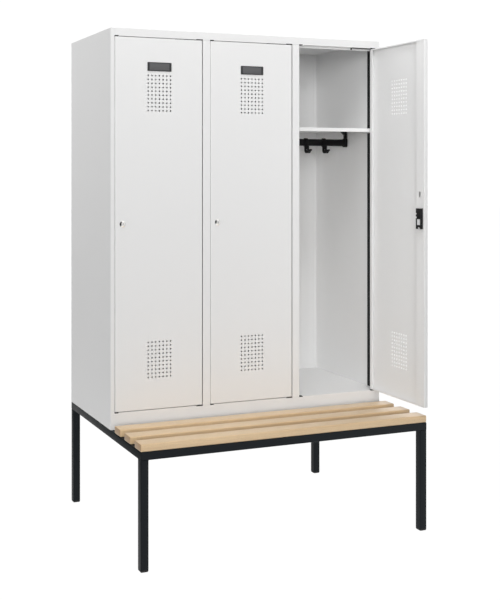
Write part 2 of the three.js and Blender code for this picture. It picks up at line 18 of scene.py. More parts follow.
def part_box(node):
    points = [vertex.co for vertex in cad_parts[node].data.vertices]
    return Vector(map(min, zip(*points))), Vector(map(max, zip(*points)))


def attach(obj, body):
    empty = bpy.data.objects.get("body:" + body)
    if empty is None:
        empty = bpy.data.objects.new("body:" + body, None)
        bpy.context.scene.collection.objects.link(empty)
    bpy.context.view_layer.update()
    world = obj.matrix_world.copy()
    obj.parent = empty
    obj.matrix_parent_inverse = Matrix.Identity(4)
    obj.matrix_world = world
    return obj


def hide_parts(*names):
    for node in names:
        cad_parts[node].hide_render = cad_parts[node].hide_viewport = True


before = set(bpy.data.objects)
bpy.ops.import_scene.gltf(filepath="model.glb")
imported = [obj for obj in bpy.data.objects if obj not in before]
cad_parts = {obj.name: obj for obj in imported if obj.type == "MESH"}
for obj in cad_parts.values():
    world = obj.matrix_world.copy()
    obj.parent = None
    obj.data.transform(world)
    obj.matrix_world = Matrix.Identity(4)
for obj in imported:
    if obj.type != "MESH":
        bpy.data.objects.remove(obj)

LOG = logging.getLogger("locker")
MM = 0.001
CABINET = "cabinet"
FULL_TURN = 2 * math.pi
QUARTER_TURN = math.pi / 2
NO_INSET = (0.0, 0.0, 0.0, 0.0)

# Radius that stands for the axis in a turned profile, so that no two of its points fall together.
AXIS = 0.05 * MM
# Distance within which points of a flat outline count as one.
SAME_POINT = 1e-7
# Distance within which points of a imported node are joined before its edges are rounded.
WELD_REACH = 0.01 * MM
# Least turns, in degrees, of an edge that is rounded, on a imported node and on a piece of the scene.
NODE_EDGE_TURN, PIECE_EDGE_TURN = 40, 32

Point2 = tuple[float, float]
Colour = tuple[float, float, float]
Block = tuple[tuple[float, float, float], tuple[float, float, float]]
Sockets = dict[str, "bpy.types.NodeSocket"]


class Side(Enum):
    """The three compartments, from left to right."""

    LEFT = "left"
    MIDDLE = "middle"
    RIGHT = "right"


class Across(Enum):
    """An end of a piece, with the sign of its place on X."""

    LEFT = -1
    RIGHT = 1


# Outlines and solids


def arc(centre: Point2, radius: float, start: float, end: float, steps: int) -> list[Point2]:
    """Gives points on an arc.

    Args:
        centre: Middle of the arc.
        radius: Its radius.
        start: Angle of the first point, in degrees.
        end: Angle of the last point, in degrees.
        steps: Number of stretches between points.

    Returns:
        The points, both ends among them.
    """
    angles = [math.radians(start + (end - start) * step / steps) for step in range(steps + 1)]
    return [(centre[0] + radius * math.cos(a), centre[1] + radius * math.sin(a)) for a in angles]


def inset_rectangle(bounds: Sequence[float], insets: Sequence[float], radius: float,
                    steps: int = 4) -> list[Point2]:
    """Draws a rectangle with round corners, drawn in from given bounds.

    Args:
        bounds: Lowest and highest place on the first axis, then on the second.
        insets: How far each of those four sides is moved inwards.
        radius: Radius of the corners.
        steps: Stretches in each corner.

    Returns:
        The outline, anticlockwise.
    """
    u0, u1, v0, v1 = (b + i for b, i in zip(bounds, (insets[0], -insets[1], insets[2], -insets[3])))
    corners = (
        ((u1 - radius, v0 + radius), -90),
        ((u1 - radius, v1 - radius), 0),
        ((u0 + radius, v1 - radius), 90),
        ((u0 + radius, v0 + radius), 180),
    )
    return [point for centre, start in corners for point in arc(centre, radius, start, start + 90, steps)]


def rounded_rectangle(width: float, height: float, radius: float, steps: int = 4) -> list[Point2]:
    """Draws a rectangle with round corners about the origin, anticlockwise."""
    bounds = (-width / 2, width / 2, -height / 2, height / 2)
    return inset_rectangle(bounds, NO_INSET, radius, steps)


def circle(centre: Point2, radius: float, steps: int) -> list[Point2]:
    """Draws a circle, anticlockwise, with as many points as steps."""
    return arc(centre, radius, 0, 360, steps)[:-1]


def quarter_turns(steps: int) -> list[float]:
    """Gives the angles from zero to a quarter of a turn, in even steps."""
    return [math.radians(90 * step / steps) for step in range(steps + 1)]


def dome(radius: float, height: float, step: float, count: int) -> list[Point2]:
    """Draws the profile of a domed head, from its rim towards its crown.

    Args:
        radius: Radius of its rim.
        height: Height of its crown.
        step: Angle between two points, in degrees.
        count: Number of points.

    Returns:
        Radius and place on Y of each point.
    """
    angles = [math.radians(90 - step * i) for i in range(count)]
    return [(radius * math.sin(a), -height * math.cos(a)) for a in angles]


def encloses(outline: Sequence[Point2], point: Vector) -> bool:
    """Says whether a point lies inside an outline, after a quick test of the outline's reach.

    Args:
        outline: The outline, in order.
        point: The point.

    Returns:
        True if it lies inside.
    """
    across, upward = zip(*outline)
    if not (min(across) < point.x < max(across) and min(upward) < point.y < max(upward)):
        return False
    inside = False
    for (u0, v0), (u1, v1) in zip(outline, [*outline[1:], outline[0]]):
        if (v0 > point.y) != (v1 > point.y) and point.x < u0 + (point.y - v0) * (u1 - u0) / (v1 - v0):
            inside = not inside
    return inside


Placer = Callable[[Point2], Sequence[float]]


class Shape:
    """Gathers the points and faces of one piece."""

    def __init__(self) -> None:
        """Starts an empty shape."""
        self.points: list[Sequence[float]] = []
        self.faces: list[Sequence[int]] = []

    def ring(self, points: Iterable[Sequence[float]]) -> list[int]:
        """Adds points.

        Args:
            points: Their places.

        Returns:
            Their numbers.
        """
        first = len(self.points)
        self.points.extend(tuple(point) for point in points)
        return list(range(first, len(self.points)))

    def bridge(self, near: Sequence[int], far: Sequence[int]) -> None:
        """Joins two closed rings of as many points with a band of faces.

        Args:
            near: Numbers of one ring's points.
            far: Numbers of the other's.
        """
        count = len(near)
        for i in range(count):
            after = (i + 1) % count
            self.faces.append((near[i], near[after], far[after], far[i]))

    def loft(self, rings: Sequence[Iterable[Sequence[float]]], closed: bool = False) -> None:
        """Skins a row of rings.

        Args:
            rings: Rings of as many points each.
            closed: Whether the last ring joins the first, as in a hoop; otherwise both ends are capped.
        """
        numbers = [self.ring(ring) for ring in rings]
        for near, far in zip(numbers, numbers[1:]):
            self.bridge(near, far)
        if closed:
            self.bridge(numbers[-1], numbers[0])
        else:
            self.faces.append(tuple(reversed(numbers[0])))
            self.faces.append(tuple(numbers[-1]))

    def sheet(self, outer: Sequence[int], outline: Sequence[Point2], holes: Sequence[Sequence[Point2]],
              place: Placer, flip: bool) -> list[list[int]]:
        """Fills a flat convex outline that has holes in it.

        Args:
            outer: Numbers of the outline's points, which exist already.
            outline: The same points, drawn flat.
            holes: Outlines of the holes.
            place: Turns a flat point into a place of the shape.
            flip: Whether the faces look the other way.

        Returns:
            The numbers of each hole's points.
        """
        rims = [self.ring(place(point) for point in hole) for hole in holes]
        numbers = [*outer, *(number for rim in rims for number in rim)]
        flat = [*outline, *(point for hole in holes for point in hole)]
        edges, first = [], 0
        for loop in (outline, *holes):
            edges.extend((first + i, first + (i + 1) % len(loop)) for i in range(len(loop)))
            first += len(loop)
        found = geometry.delaunay_2d_cdt([Vector(point) for point in flat], edges, [], 0, SAME_POINT)
        spots, triangles, sources = found[0], found[2], found[3]
        for triangle in triangles:
            middle = sum((spots[i] for i in triangle), Vector((0, 0))) / len(triangle)
            if any(encloses(hole, middle) for hole in holes):
                continue
            face = [numbers[sources[i][0]] for i in triangle]
            self.faces.append(tuple(reversed(face)) if flip else tuple(face))
        return rims

    def mesh(self, name: str, sharp: float = 35) -> bpy.types.Mesh:
        """Makes the mesh.

        Args:
            name: Its name.
            sharp: Edges that turn more than this many degrees stay sharp.

        Returns:
            The mesh, shaded smooth between its sharp edges.
        """
        mesh = bpy.data.meshes.new(name)
        mesh.from_pydata(self.points, [], self.faces)
        mesh.validate()
        outward = bmesh.new()
        outward.from_mesh(mesh)
        bmesh.ops.recalc_face_normals(outward, faces=outward.faces)
        outward.to_mesh(mesh)
        outward.free()
        mesh.shade_smooth()
        mesh.set_sharp_from_angle(angle=math.radians(sharp))
        return mesh


def lathe(profile: Sequence[Point2], steps: int, hollow: bool = False) -> Shape:
    """Turns a closed profile about the Y axis.

    Args:
        profile: Radius and place on Y of each point, in order round the section.
        steps: Number of stretches round the axis.
        hollow: Whether the section stands clear of the axis, as in a hoop.

    Returns:
        The shape.
    """
    angles = [FULL_TURN * step / steps for step in range(steps)]
    shape = Shape()
    shape.loft([[(r * math.cos(a), y, -r * math.sin(a)) for a in angles] for r, y in profile], closed=hollow)
    return shape


def bar_along_x(section: Sequence[Point2], x0: float, x1: float, soft: float = 0, steps: int = 4) -> Shape:
    """Runs a section in Y and Z between two places on X.

    Args:
        section: Outline in Y and Z about the bar's axis.
        x0: Where it starts.
        x1: Where it ends.
        soft: Radius of its rounded ends.
        steps: Stretches in each rounded end.

    Returns:
        The shape, about its own axis.
    """
    reach_y = max(abs(y) for y, _ in section)
    reach_z = max(abs(z) for _, z in section)

    def ring(x: float, inset: float) -> list[tuple[float, float, float]]:
        """Draws the section at a place on X, drawn in by an inset."""
        return [(x, y * (1 - inset / reach_y), z * (1 - inset / reach_z)) for y, z in section]

    turns = quarter_turns(steps) if soft else [QUARTER_TURN]
    start = [ring(x0 + soft * (1 - math.cos(a)), soft * (1 - math.sin(a))) for a in turns]
    end = [[(x0 + x1 - x, y, z) for x, y, z in points] for points in reversed(start)]
    shape = Shape()
    shape.loft([*start, *end])
    return shape


def prism(outline: Sequence[Point2], place: Placer, depth: Sequence[float]) -> Shape:
    """Draws a closed outline out into a prism.

    Args:
        outline: The outline.
        place: Turns a flat point into a place on the near face.
        depth: Way from the near face to the far one.

    Returns:
        The shape.
    """
    shape = Shape()
    near = [Vector(place(point)) for point in outline]
    shape.loft([near, [point + Vector(depth) for point in near]])
    return shape


def block_between(low: Sequence[float], high: Sequence[float]) -> Shape:
    """Makes a plain block between two corners."""
    outline = [(low[0], low[2]), (high[0], low[2]), (high[0], high[2]), (low[0], high[2])]
    return prism(outline, lambda p: (p[0], low[1], p[1]), (0, high[1] - low[1], 0))


def cushion_block(size: Sequence[float], radius: float, steps: int = 3) -> Shape:
    """Makes a block with all its edges rounded, about the origin."""
    section = rounded_rectangle(size[1], size[2], radius, steps)
    return bar_along_x(section, -size[0] / 2, size[0] / 2, radius, steps)


# Placing pieces


def put(name: str, mesh: bpy.types.Mesh, finish: "Finish", body: str,
        at: Matrix | None = None, stands_for: Sequence[str] = ()) -> bpy.types.Object:
    """Places a piece in the scene.

    Args:
        name: The piece's name.
        mesh: Its mesh, which other pieces may share.
        finish: What covers it.
        body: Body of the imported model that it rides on.
        at: Where it goes, if its mesh isn't in place already.
        stands_for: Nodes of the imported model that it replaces.

    Returns:
        The new object.
    """
    piece = bpy.data.objects.new(name, mesh)
    bpy.context.scene.collection.objects.link(piece)
    if not mesh.materials:
        mesh.materials.append(finish.material())
    piece.matrix_world = at or Matrix.Identity(4)
    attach(piece, body)
    if stands_for:
        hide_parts(*stands_for)
    LOG.info("%s rides on %s", name, body)
    return piece


def dress(node: str, finish: "Finish", soft: float = 0.0) -> None:
    """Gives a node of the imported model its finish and, where soft is set, narrow rounded edges.

    Args:
        node: Its name.
        finish: What covers it.
        soft: Width of the rounding of its edges.
    """
    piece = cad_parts[node]
    piece.data.materials.clear()
    piece.data.materials.append(finish.material())
    if soft:
        weld = piece.modifiers.new("join_faces", "WELD")
        weld.merge_threshold = WELD_REACH
        bevel = piece.modifiers.new("soft_edges", "BEVEL")
        bevel.width = soft
        bevel.segments = 2
        bevel.limit_method = "ANGLE"
        bevel.angle_limit = math.radians(NODE_EDGE_TURN)
        bevel.use_clamp_overlap = False
        even = piece.modifiers.new("even_faces", "WEIGHTED_NORMAL")
        even.keep_sharp = True
        piece.data.shade_smooth()


def soften(piece: bpy.types.Object, width: float, segments: int = 3) -> None:
    """Rounds the sharp edges of a piece.

    Args:
        piece: The piece.
        width: Width of the rounding.
        segments: Stretches in it.
    """
    bevel = piece.modifiers.new("soft_edges", "BEVEL")
    bevel.width = width
    bevel.segments = segments
    bevel.limit_method = "ANGLE"
    bevel.angle_limit = math.radians(PIECE_EDGE_TURN)
    bevel.harden_normals = True


def carve(mesh: bpy.types.Mesh, tools: Sequence[bpy.types.Mesh], sharp: float = 35) -> bpy.types.Mesh:
    """Cuts tools out of a mesh.

    Args:
        mesh: What is cut.
        tools: Closed meshes to cut away.
        sharp: Edges that turn more than this many degrees stay sharp.

    Returns:
        A new mesh.
    """
    blank = bpy.data.objects.new("blank", mesh)
    bpy.context.scene.collection.objects.link(blank)
    cutters = []
    for tool in tools:
        cutter = bpy.data.objects.new("cutter", tool)
        bpy.context.scene.collection.objects.link(cutter)
        cut = blank.modifiers.new("cut", "BOOLEAN")
        cut.operation = "DIFFERENCE"
        cut.solver = "EXACT"
        cut.object = cutter
        cutters.append(cutter)
    bpy.context.view_layer.update()
    result = bpy.data.meshes.new_from_object(blank.evaluated_get(bpy.context.evaluated_depsgraph_get()))
    result.name = mesh.name
    for helper in (blank, *cutters):
        bpy.data.objects.remove(helper)
    result.shade_smooth()
    result.set_sharp_from_angle(angle=math.radians(sharp))
    return result


# Finishes


class Tree:
    """Adds nodes to a node tree and joins them."""

    def __init__(self, tree: bpy.types.NodeTree) -> None:
        """Wraps a node tree."""
        self.tree = tree

    def add(self, kind: str, inputs: dict[str | int, object] | None = None,
            **settings: object) -> bpy.types.Node:
        """Adds a node.

        Args:
            kind: The node's type name.
            inputs: Values or sockets for its inputs, by name or place.
            settings: Values for its own settings.

        Returns:
            The node.
        """
        node = self.tree.nodes.new(kind)
        for name, value in settings.items():
            setattr(node, name, value)
        for name, value in (inputs or {}).items():
            if isinstance(value, bpy.types.NodeSocket):
                self.tree.links.new(value, node.inputs[name])
            else:
                node.inputs[name].default_value = value
        return node

    def math(self, operation: str, *values: object, clamp: bool = False) -> bpy.types.NodeSocket:
        """Adds a sum and gives its result."""
        node = self.add("ShaderNodeMath", dict(enumerate(values)), operation=operation, use_clamp=clamp)
        return node.outputs[0]

    def stretched(self, vector: bpy.types.NodeSocket,
                  scale: Sequence[float] | bpy.types.NodeSocket) -> bpy.types.NodeSocket:
        """Scales a place along each axis and gives the result."""
        node = self.add("ShaderNodeVectorMath", {0: vector, 1: scale}, operation="MULTIPLY")
        return node.outputs[0]

    def noise(self, vector: bpy.types.NodeSocket, scale: float | bpy.types.NodeSocket,
              detail: float = 2, rough: float = 0.5) -> bpy.types.NodeSocket:
        """Adds fractal noise and gives its value."""
        inputs = {"Vector": vector, "Scale": scale, "Detail": detail, "Roughness": rough}
        return self.add("ShaderNodeTexNoise", inputs).outputs["Fac"]

    def spread(self, value: bpy.types.NodeSocket, low: float, high: float,
               to_low: float | bpy.types.NodeSocket = 0.0,
               to_high: float | bpy.types.NodeSocket = 1.0) -> bpy.types.NodeSocket:
        """Maps a range onto another, held to its ends."""
        inputs = {"Value": value, "From Min": low, "From Max": high, "To Min": to_low, "To Max": to_high}
        return self.add("ShaderNodeMapRange", inputs, clamp=True).outputs["Result"]

    def blend(self, share: bpy.types.NodeSocket, first: object, second: object,
              how: str = "MIX") -> bpy.types.NodeSocket:
        """Blends two colours.

        Args:
            share: Share of the second colour.
            first: One colour.
            second: The other colour.
            how: The kind of blend.

        Returns:
            The blended colour.
        """
        node = self.tree.nodes.new("ShaderNodeMix")
        node.data_type = "RGBA"
        node.blend_type = how
        for place, value in ((0, share), (6, first), (7, second)):
            if isinstance(value, bpy.types.NodeSocket):
                self.tree.links.new(value, node.inputs[place])
            else:
                node.inputs[place].default_value = value
        return node.outputs[2]


def emptied_tree(owner: bpy.types.Material | bpy.types.World) -> Tree:
    """Empties the node tree of a material or a world.

    Args:
        owner: What the tree belongs to.

    Returns:
        The tree, to add nodes to.
    """
    owner.use_nodes = True
    owner.node_tree.nodes.clear()
    return Tree(owner.node_tree)


def group(name: str, inputs: Sequence[tuple[str, str]], outputs: Sequence[tuple[str, str]],
          fill: Callable[[Tree, Sockets], Sockets]) -> bpy.types.NodeTree:
    """Builds a shader node group once.

    Args:
        name: Its name.
        inputs: Name and kind of each input.
        outputs: Name and kind of each output.
        fill: Adds its nodes, and gives the socket for each output.

    Returns:
        The group's tree.
    """
    if name in bpy.data.node_groups:
        return bpy.data.node_groups[name]
    made = bpy.data.node_groups.new(name, "ShaderNodeTree")
    for label, kind in inputs:
        made.interface.new_socket(label, in_out="INPUT", socket_type=f"NodeSocket{kind}")
    for label, kind in outputs:
        made.interface.new_socket(label, in_out="OUTPUT", socket_type=f"NodeSocket{kind}")
    tree = Tree(made)
    entry = tree.add("NodeGroupInput")
    sockets = {label: entry.outputs[label] for label, _ in inputs}
    tree.add("NodeGroupOutput", fill(tree, sockets))
    return made


# Waves per metre of a film's drifting tone and of its smudges, and the drift's share of the tone.
DRIFT_WAVES, SMUDGE_WAVES, DRIFT_SHARE = 2.6, 19, 0.7


def grainy_film(tree: Tree, entry: Sockets) -> Sockets:
    """Fills the group for the skin of powder paint or moulded plastic.

    Args:
        tree: The group's tree.
        entry: Its inputs.

    Returns:
        Height of the fine dimples, a tone that drifts over the surface, and a share of gloss that varies.
    """
    place = entry["Place"]
    dimples = tree.noise(place, entry["Dimples"], detail=1.5, rough=0.45)
    drift = tree.noise(place, DRIFT_WAVES, detail=3, rough=0.5)
    smudge = tree.noise(place, SMUDGE_WAVES, detail=4, rough=0.6)
    tone = tree.math("ADD", tree.math("MULTIPLY", drift, DRIFT_SHARE),
                     tree.math("MULTIPLY", smudge, 1 - DRIFT_SHARE))
    return {"Height": dimples, "Tone": tone, "Gloss": smudge}


# How much a face has to look up before dust lies on it, and the size, reach and least share of its patches.
DUSTY_SLOPE, PATCH_WAVES, PATCH_REACH, THIN_PATCH = 0.6, 31, (0.35, 0.75), 0.2


def settled_dust(tree: Tree, entry: Sockets) -> Sockets:
    """Fills the group for dust that lies on faces that look up.

    Args:
        tree: The group's tree.
        entry: Its inputs.

    Returns:
        A mask of the dust.
    """
    facing = tree.add("ShaderNodeNewGeometry").outputs["Normal"]
    up = tree.add("ShaderNodeSeparateXYZ", {0: facing}).outputs["Z"]
    cloud = tree.noise(entry["Place"], PATCH_WAVES, detail=5, rough=0.62)
    lying, patches = tree.spread(up, DUSTY_SLOPE, 1.0), tree.spread(cloud, *PATCH_REACH, THIN_PATCH)
    mask = tree.math("MULTIPLY", tree.math("MULTIPLY", lying, patches), entry["Amount"], clamp=True)
    return {"Mask": mask}


# Waves per metre of the tarnish on plated metal.
TARNISH_WAVES = 90


def handled_metal(tree: Tree, entry: Sockets) -> Sockets:
    """Fills the group for plated metal that has been drawn, polished and handled.

    Args:
        tree: The group's tree.
        entry: Its inputs.

    Returns:
        Fine scratches and a cloud of tarnish.
    """
    scratches = tree.noise(tree.stretched(entry["Place"], entry["Waves"]), 1.0, detail=3, rough=0.6)
    cloud = tree.noise(entry["Place"], TARNISH_WAVES, detail=3, rough=0.5)
    return {"Scratches": scratches, "Cloud": cloud}


# Waves per metre along X, Y and Z of each layer of the grain: how the rings wander, bands, fibres and flecks.
WANDER_WAVES, BAND_WAVES = (1.3, 9, 9), (0.9, 46, 46)
FIBRE_WAVES, FLECK_WAVES = (14, 620, 620), (190, 1500, 1500)
# Growth rings per metre of height, how they bend towards the edges, and how far they wander.
RINGS, RING_BEND, RING_WANDER = 260, 900, 1.6
# Where flecks begin and are full, and how much a face looks along X where its end grain begins and is full.
FLECK_REACH, END_REACH = (0.64, 0.74), (0.55, 0.9)


def timber_grain(tree: Tree, entry: Sockets) -> Sockets:
    """Fills the group for planed timber whose fibres run along X.

    Args:
        tree: The group's tree.
        entry: Its inputs.

    Returns:
        Growth bands, fine fibres, dark flecks, the rings of an end face and the mask of end faces.
    """
    place = entry["Place"]
    drift = tree.noise(tree.stretched(place, WANDER_WAVES), 1.0, detail=2, rough=0.5)
    wander = tree.math("MULTIPLY", drift, RING_WANDER)
    across = tree.add("ShaderNodeSeparateXYZ", {0: place})
    bands = tree.add("ShaderNodeTexNoise", {
        "Vector": tree.stretched(place, BAND_WAVES), "Scale": 1.0, "Detail": 3.0, "Roughness": 0.55,
        "Distortion": 0.4,
    }).outputs["Fac"]
    fibres = tree.noise(tree.stretched(place, FIBRE_WAVES), 1.0, detail=3, rough=0.6)
    specks = tree.noise(tree.stretched(place, FLECK_WAVES), 1.0, detail=1, rough=0.5)
    flecks = tree.spread(specks, *FLECK_REACH)
    height = tree.math("ADD", tree.math("MULTIPLY", across.outputs["Z"], RINGS),
                       tree.math("MULTIPLY", tree.math("POWER", across.outputs["Y"], 2.0), RING_BEND))
    rings = tree.math("FRACT", tree.math("ADD", height, wander))
    facing = tree.add("ShaderNodeTexCoord").outputs["Normal"]
    endwise = tree.math("ABSOLUTE", tree.add("ShaderNodeSeparateXYZ", {0: facing}).outputs["X"])
    ends = tree.spread(endwise, *END_REACH)
    return {"Bands": bands, "Fibres": fibres, "Flecks": flecks, "Rings": rings, "Ends": ends}


FILM_INPUTS = (("Place", "Vector"), ("Dimples", "Float"))
FILM_OUTPUTS = (("Height", "Float"), ("Tone", "Float"), ("Gloss", "Float"))
DUST_INPUTS = (("Place", "Vector"), ("Amount", "Float"))
DUST_OUTPUTS = (("Mask", "Float"),)
METAL_INPUTS = (("Place", "Vector"), ("Waves", "Vector"))
METAL_OUTPUTS = (("Scratches", "Float"), ("Cloud", "Float"))
GRAIN_INPUTS = (("Place", "Vector"),)
GRAIN_OUTPUTS = tuple((label, "Float") for label in ("Bands", "Fibres", "Flecks", "Rings", "Ends"))


def opaque(colour: Sequence[float], share: float = 1.0) -> tuple[float, float, float, float]:
    """Gives a colour four channels, made darker or lighter by a share."""
    return (colour[0] * share, colour[1] * share, colour[2] * share, 1.0)


@dataclass(frozen=True)
class Finish:
    """What covers a piece. Each kind adds its own nodes."""

    name: str

    def material(self) -> bpy.types.Material:
        """Gives the material, which is built when it is first asked for.

        Returns:
            The material.
        """
        if self.name in bpy.data.materials:
            return bpy.data.materials[self.name]
        made = bpy.data.materials.new(self.name)
        tree = emptied_tree(made)
        shader = tree.add("ShaderNodeBsdfPrincipled")
        tree.add("ShaderNodeOutputMaterial", {"Surface": shader.outputs[0]})
        self.fill(tree, shader, tree.add("ShaderNodeTexCoord").outputs["Object"])
        return made

    def fill(self, tree: Tree, shader: bpy.types.Node, place: bpy.types.NodeSocket) -> None:
        """Adds the finish's own nodes."""
        raise NotImplementedError

    @staticmethod
    def bump(tree: Tree, shader: bpy.types.Node, height: bpy.types.NodeSocket, depth: float,
             share: float) -> None:
        """Presses a height into the surface.

        Args:
            tree: The material's tree.
            shader: Its shader.
            height: Height from zero to one.
            depth: Length that one stands for.
            share: Strength of the effect.
        """
        bump = tree.add("ShaderNodeBump", {"Height": height, "Distance": depth, "Strength": share})
        tree.tree.links.new(bump.outputs["Normal"], shader.inputs["Normal"])


@dataclass(frozen=True)
class Film(Finish):
    """Powder paint or moulded plastic: a fine dimpled skin with a tone that drifts a little."""

    colour: Colour
    roughness: float
    specular: float = 0.5
    dimples: float = 900.0
    dimple_depth: float = 0.05 * MM
    drift: float = 0.03
    dust: float = 0.05
    dust_colour: Colour = (0.55, 0.54, 0.52)
    smoother: float = 0.04
    rougher: float = 0.05
    gloss_reach: Point2 = (0.2, 0.8)
    relief: float = 0.5

    def fill(self, tree: Tree, shader: bpy.types.Node, place: bpy.types.NodeSocket) -> None:
        """Adds the skin, its tone and a trace of dust.

        Args:
            tree: The material's tree.
            shader: Its shader.
            place: Place on the piece.
        """
        skin_group = group("grainy_film", FILM_INPUTS, FILM_OUTPUTS, grainy_film)
        dust_group = group("settled_dust", DUST_INPUTS, DUST_OUTPUTS, settled_dust)
        skin = tree.add("ShaderNodeGroup", node_tree=skin_group)
        dust = tree.add("ShaderNodeGroup", node_tree=dust_group)
        for node in (skin, dust):
            tree.tree.links.new(place, node.inputs["Place"])
        skin.inputs["Dimples"].default_value = self.dimples
        dust.inputs["Amount"].default_value = self.dust
        drifting = tree.blend(skin.outputs["Tone"], opaque(self.colour, 1 - self.drift),
                              opaque(self.colour, 1 + self.drift))
        covered = tree.blend(dust.outputs["Mask"], drifting, opaque(self.dust_colour))
        rough = tree.spread(skin.outputs["Gloss"], *self.gloss_reach, self.roughness - self.smoother,
                            self.roughness + self.rougher)
        tree.tree.links.new(covered, shader.inputs["Base Color"])
        tree.tree.links.new(rough, shader.inputs["Roughness"])
        shader.inputs["Specular IOR Level"].default_value = self.specular
        self.bump(tree, shader, skin.outputs["Height"], self.dimple_depth, self.relief)


@dataclass(frozen=True)
class Plating(Finish):
    """Plated metal, polished or brushed, with fine handling marks."""

    colour: Colour
    roughness: float
    brush: Sequence[float] = (1, 1, 1)
    tarnish: float = 0.12
    tarnish_tone: float = 0.55
    scratch_waves: float = 700
    scratch_depth: float = 0.01 * MM
    scratch_reach: Point2 = (0.3, 0.7)
    smoother: float = 0.8
    rougher: float = 1.35
    relief: float = 0.3

    def fill(self, tree: Tree, shader: bpy.types.Node, place: bpy.types.NodeSocket) -> None:
        """Adds the drawn scratches and a faint uneven tarnish.

        Args:
            tree: The material's tree.
            shader: Its shader.
            place: Place on the piece.
        """
        metal_group = group("handled_metal", METAL_INPUTS, METAL_OUTPUTS, handled_metal)
        metal = tree.add("ShaderNodeGroup", node_tree=metal_group)
        tree.tree.links.new(place, metal.inputs["Place"])
        metal.inputs["Waves"].default_value = [share * self.scratch_waves for share in self.brush]
        scratches = metal.outputs["Scratches"]
        tint = tree.blend(tree.math("MULTIPLY", metal.outputs["Cloud"], self.tarnish), opaque(self.colour),
                          opaque(self.colour, self.tarnish_tone))
        tree.tree.links.new(tint, shader.inputs["Base Color"])
        rough = tree.spread(scratches, *self.scratch_reach, self.roughness * self.smoother,
                            self.roughness * self.rougher)
        tree.tree.links.new(rough, shader.inputs["Roughness"])
        shader.inputs["Metallic"].default_value = 1.0
        self.bump(tree, shader, scratches, self.scratch_depth, self.relief)


@dataclass(frozen=True)
class Timber(Finish):
    """Clear varnished pale hardwood with its fibres along X."""

    pale: Colour
    deep: Colour
    fleck: Colour
    end: Colour
    roughness: float = 0.42
    smoother: float = 0.05
    rougher: float = 0.08
    gloss_reach: Point2 = (0.2, 0.8)
    varnish: float = 0.6
    varnish_roughness: float = 0.3
    band_reach: Point2 = (0.3, 0.7)
    fibre_tones: Point2 = (0.9, 1.06)
    fleck_share: float = 0.5
    ring_share: float = 0.6
    ring_tone: float = 0.78
    fibre_depth: float = 0.06 * MM
    relief: float = 0.35

    def fill(self, tree: Tree, shader: bpy.types.Node, place: bpy.types.NodeSocket) -> None:
        """Adds growth bands, fibres, flecks and end faces.

        Args:
            tree: The material's tree.
            shader: Its shader.
            place: Place on the piece.
        """
        grain_group = group("timber_grain", GRAIN_INPUTS, GRAIN_OUTPUTS, timber_grain)
        grain = tree.add("ShaderNodeGroup", node_tree=grain_group)
        tree.tree.links.new(place, grain.inputs["Place"])
        bands = tree.spread(grain.outputs["Bands"], *self.band_reach)
        colour = tree.blend(bands, opaque(self.pale), opaque(self.deep))
        tone = tree.spread(grain.outputs["Fibres"], *self.band_reach, *self.fibre_tones)
        grey = tree.add("ShaderNodeCombineColor", {0: tone, 1: tone, 2: tone}).outputs[0]
        shaded = tree.blend(1.0, colour, grey, "MULTIPLY")
        flecked = tree.blend(tree.math("MULTIPLY", grain.outputs["Flecks"], self.fleck_share), shaded,
                             opaque(self.fleck))
        ringed = tree.blend(tree.math("MULTIPLY", grain.outputs["Rings"], self.ring_share), opaque(self.end),
                            opaque(self.end, self.ring_tone))
        whole = tree.blend(grain.outputs["Ends"], flecked, ringed)
        tree.tree.links.new(whole, shader.inputs["Base Color"])
        rough = tree.spread(grain.outputs["Fibres"], *self.gloss_reach, self.roughness - self.smoother,
                            self.roughness + self.rougher)
        tree.tree.links.new(rough, shader.inputs["Roughness"])
        shader.inputs["Coat Weight"].default_value = self.varnish
        shader.inputs["Coat Roughness"].default_value = self.varnish_roughness
        self.bump(tree, shader, grain.outputs["Fibres"], self.fibre_depth, self.relief)


BLACK: Colour = (0.004, 0.004, 0.0044)
SOOT: Colour = (0.008, 0.008, 0.009)
LIGHT_GREY = Film("light_grey_powder", (0.955, 0.955, 0.953), 0.42, dust=0.02, drift=0.012)
ANTHRACITE = Film("anthracite_powder", (0.010, 0.013, 0.0155), 0.45, specular=0.14, dust=0.01)
BLACK_PAINT = Film("black_satin_paint", BLACK, 0.36, specular=0.22, dimples=1400, dust=0.01)
HOOK_PLASTIC = Film("black_moulded_plastic", BLACK, 0.4, specular=0.22, dimples=2200, dust=0.01)
# Near-black case plastic; on the block that fills the key slot the same finish is painted shade.
CASE_PLASTIC_AND_SLOT_SHADE = Film("lock_case_plastic", SOOT, 0.48, specular=0.3, dimples=2600, dust=0.01)
GLIDE_PLASTIC = Film("glide_plastic", SOOT, 0.55, specular=0.3, dimples=1600, dust=0.03)
LABEL_EDGE = Film("label_frame_plastic", (0.035, 0.036, 0.038), 0.45, specular=0.4, dimples=2600)
LABEL_FACE = Film("label_blank_plastic", (0.125, 0.127, 0.132), 0.5, specular=0.4, dimples=3000)
# Near-black finish of the flat strip on each compartment's right-hand wall.
BLACK_STRIP_FILM = Film("black_wall_strip_film", (0.012, 0.012, 0.013), 0.6, specular=0.25, dimples=1800)
NICKEL = Plating("polished_nickel", (0.93, 0.92, 0.90), 0.1)
ZINC = Plating("bright_zinc", (0.66, 0.67, 0.69), 0.26, brush=(1, 1, 0.12))
# Pale finish of the plate in the lock case's window, and of the tab in its foot notch, where it is a painted
# highlight.
CASE_ZINC_AND_HIGHLIGHT = Film("pale_zinc_and_highlight", (0.80, 0.81, 0.82), 0.4, dust=0.02)
STEEL_SCREW = Plating("screw_steel", (0.55, 0.55, 0.56), 0.3)
BEECH = Timber("varnished_beech", pale=(0.91, 0.68, 0.42), deep=(0.81, 0.57, 0.325),
               fleck=(0.42, 0.25, 0.135), end=(0.58, 0.375, 0.2))


# Sub-assemblies


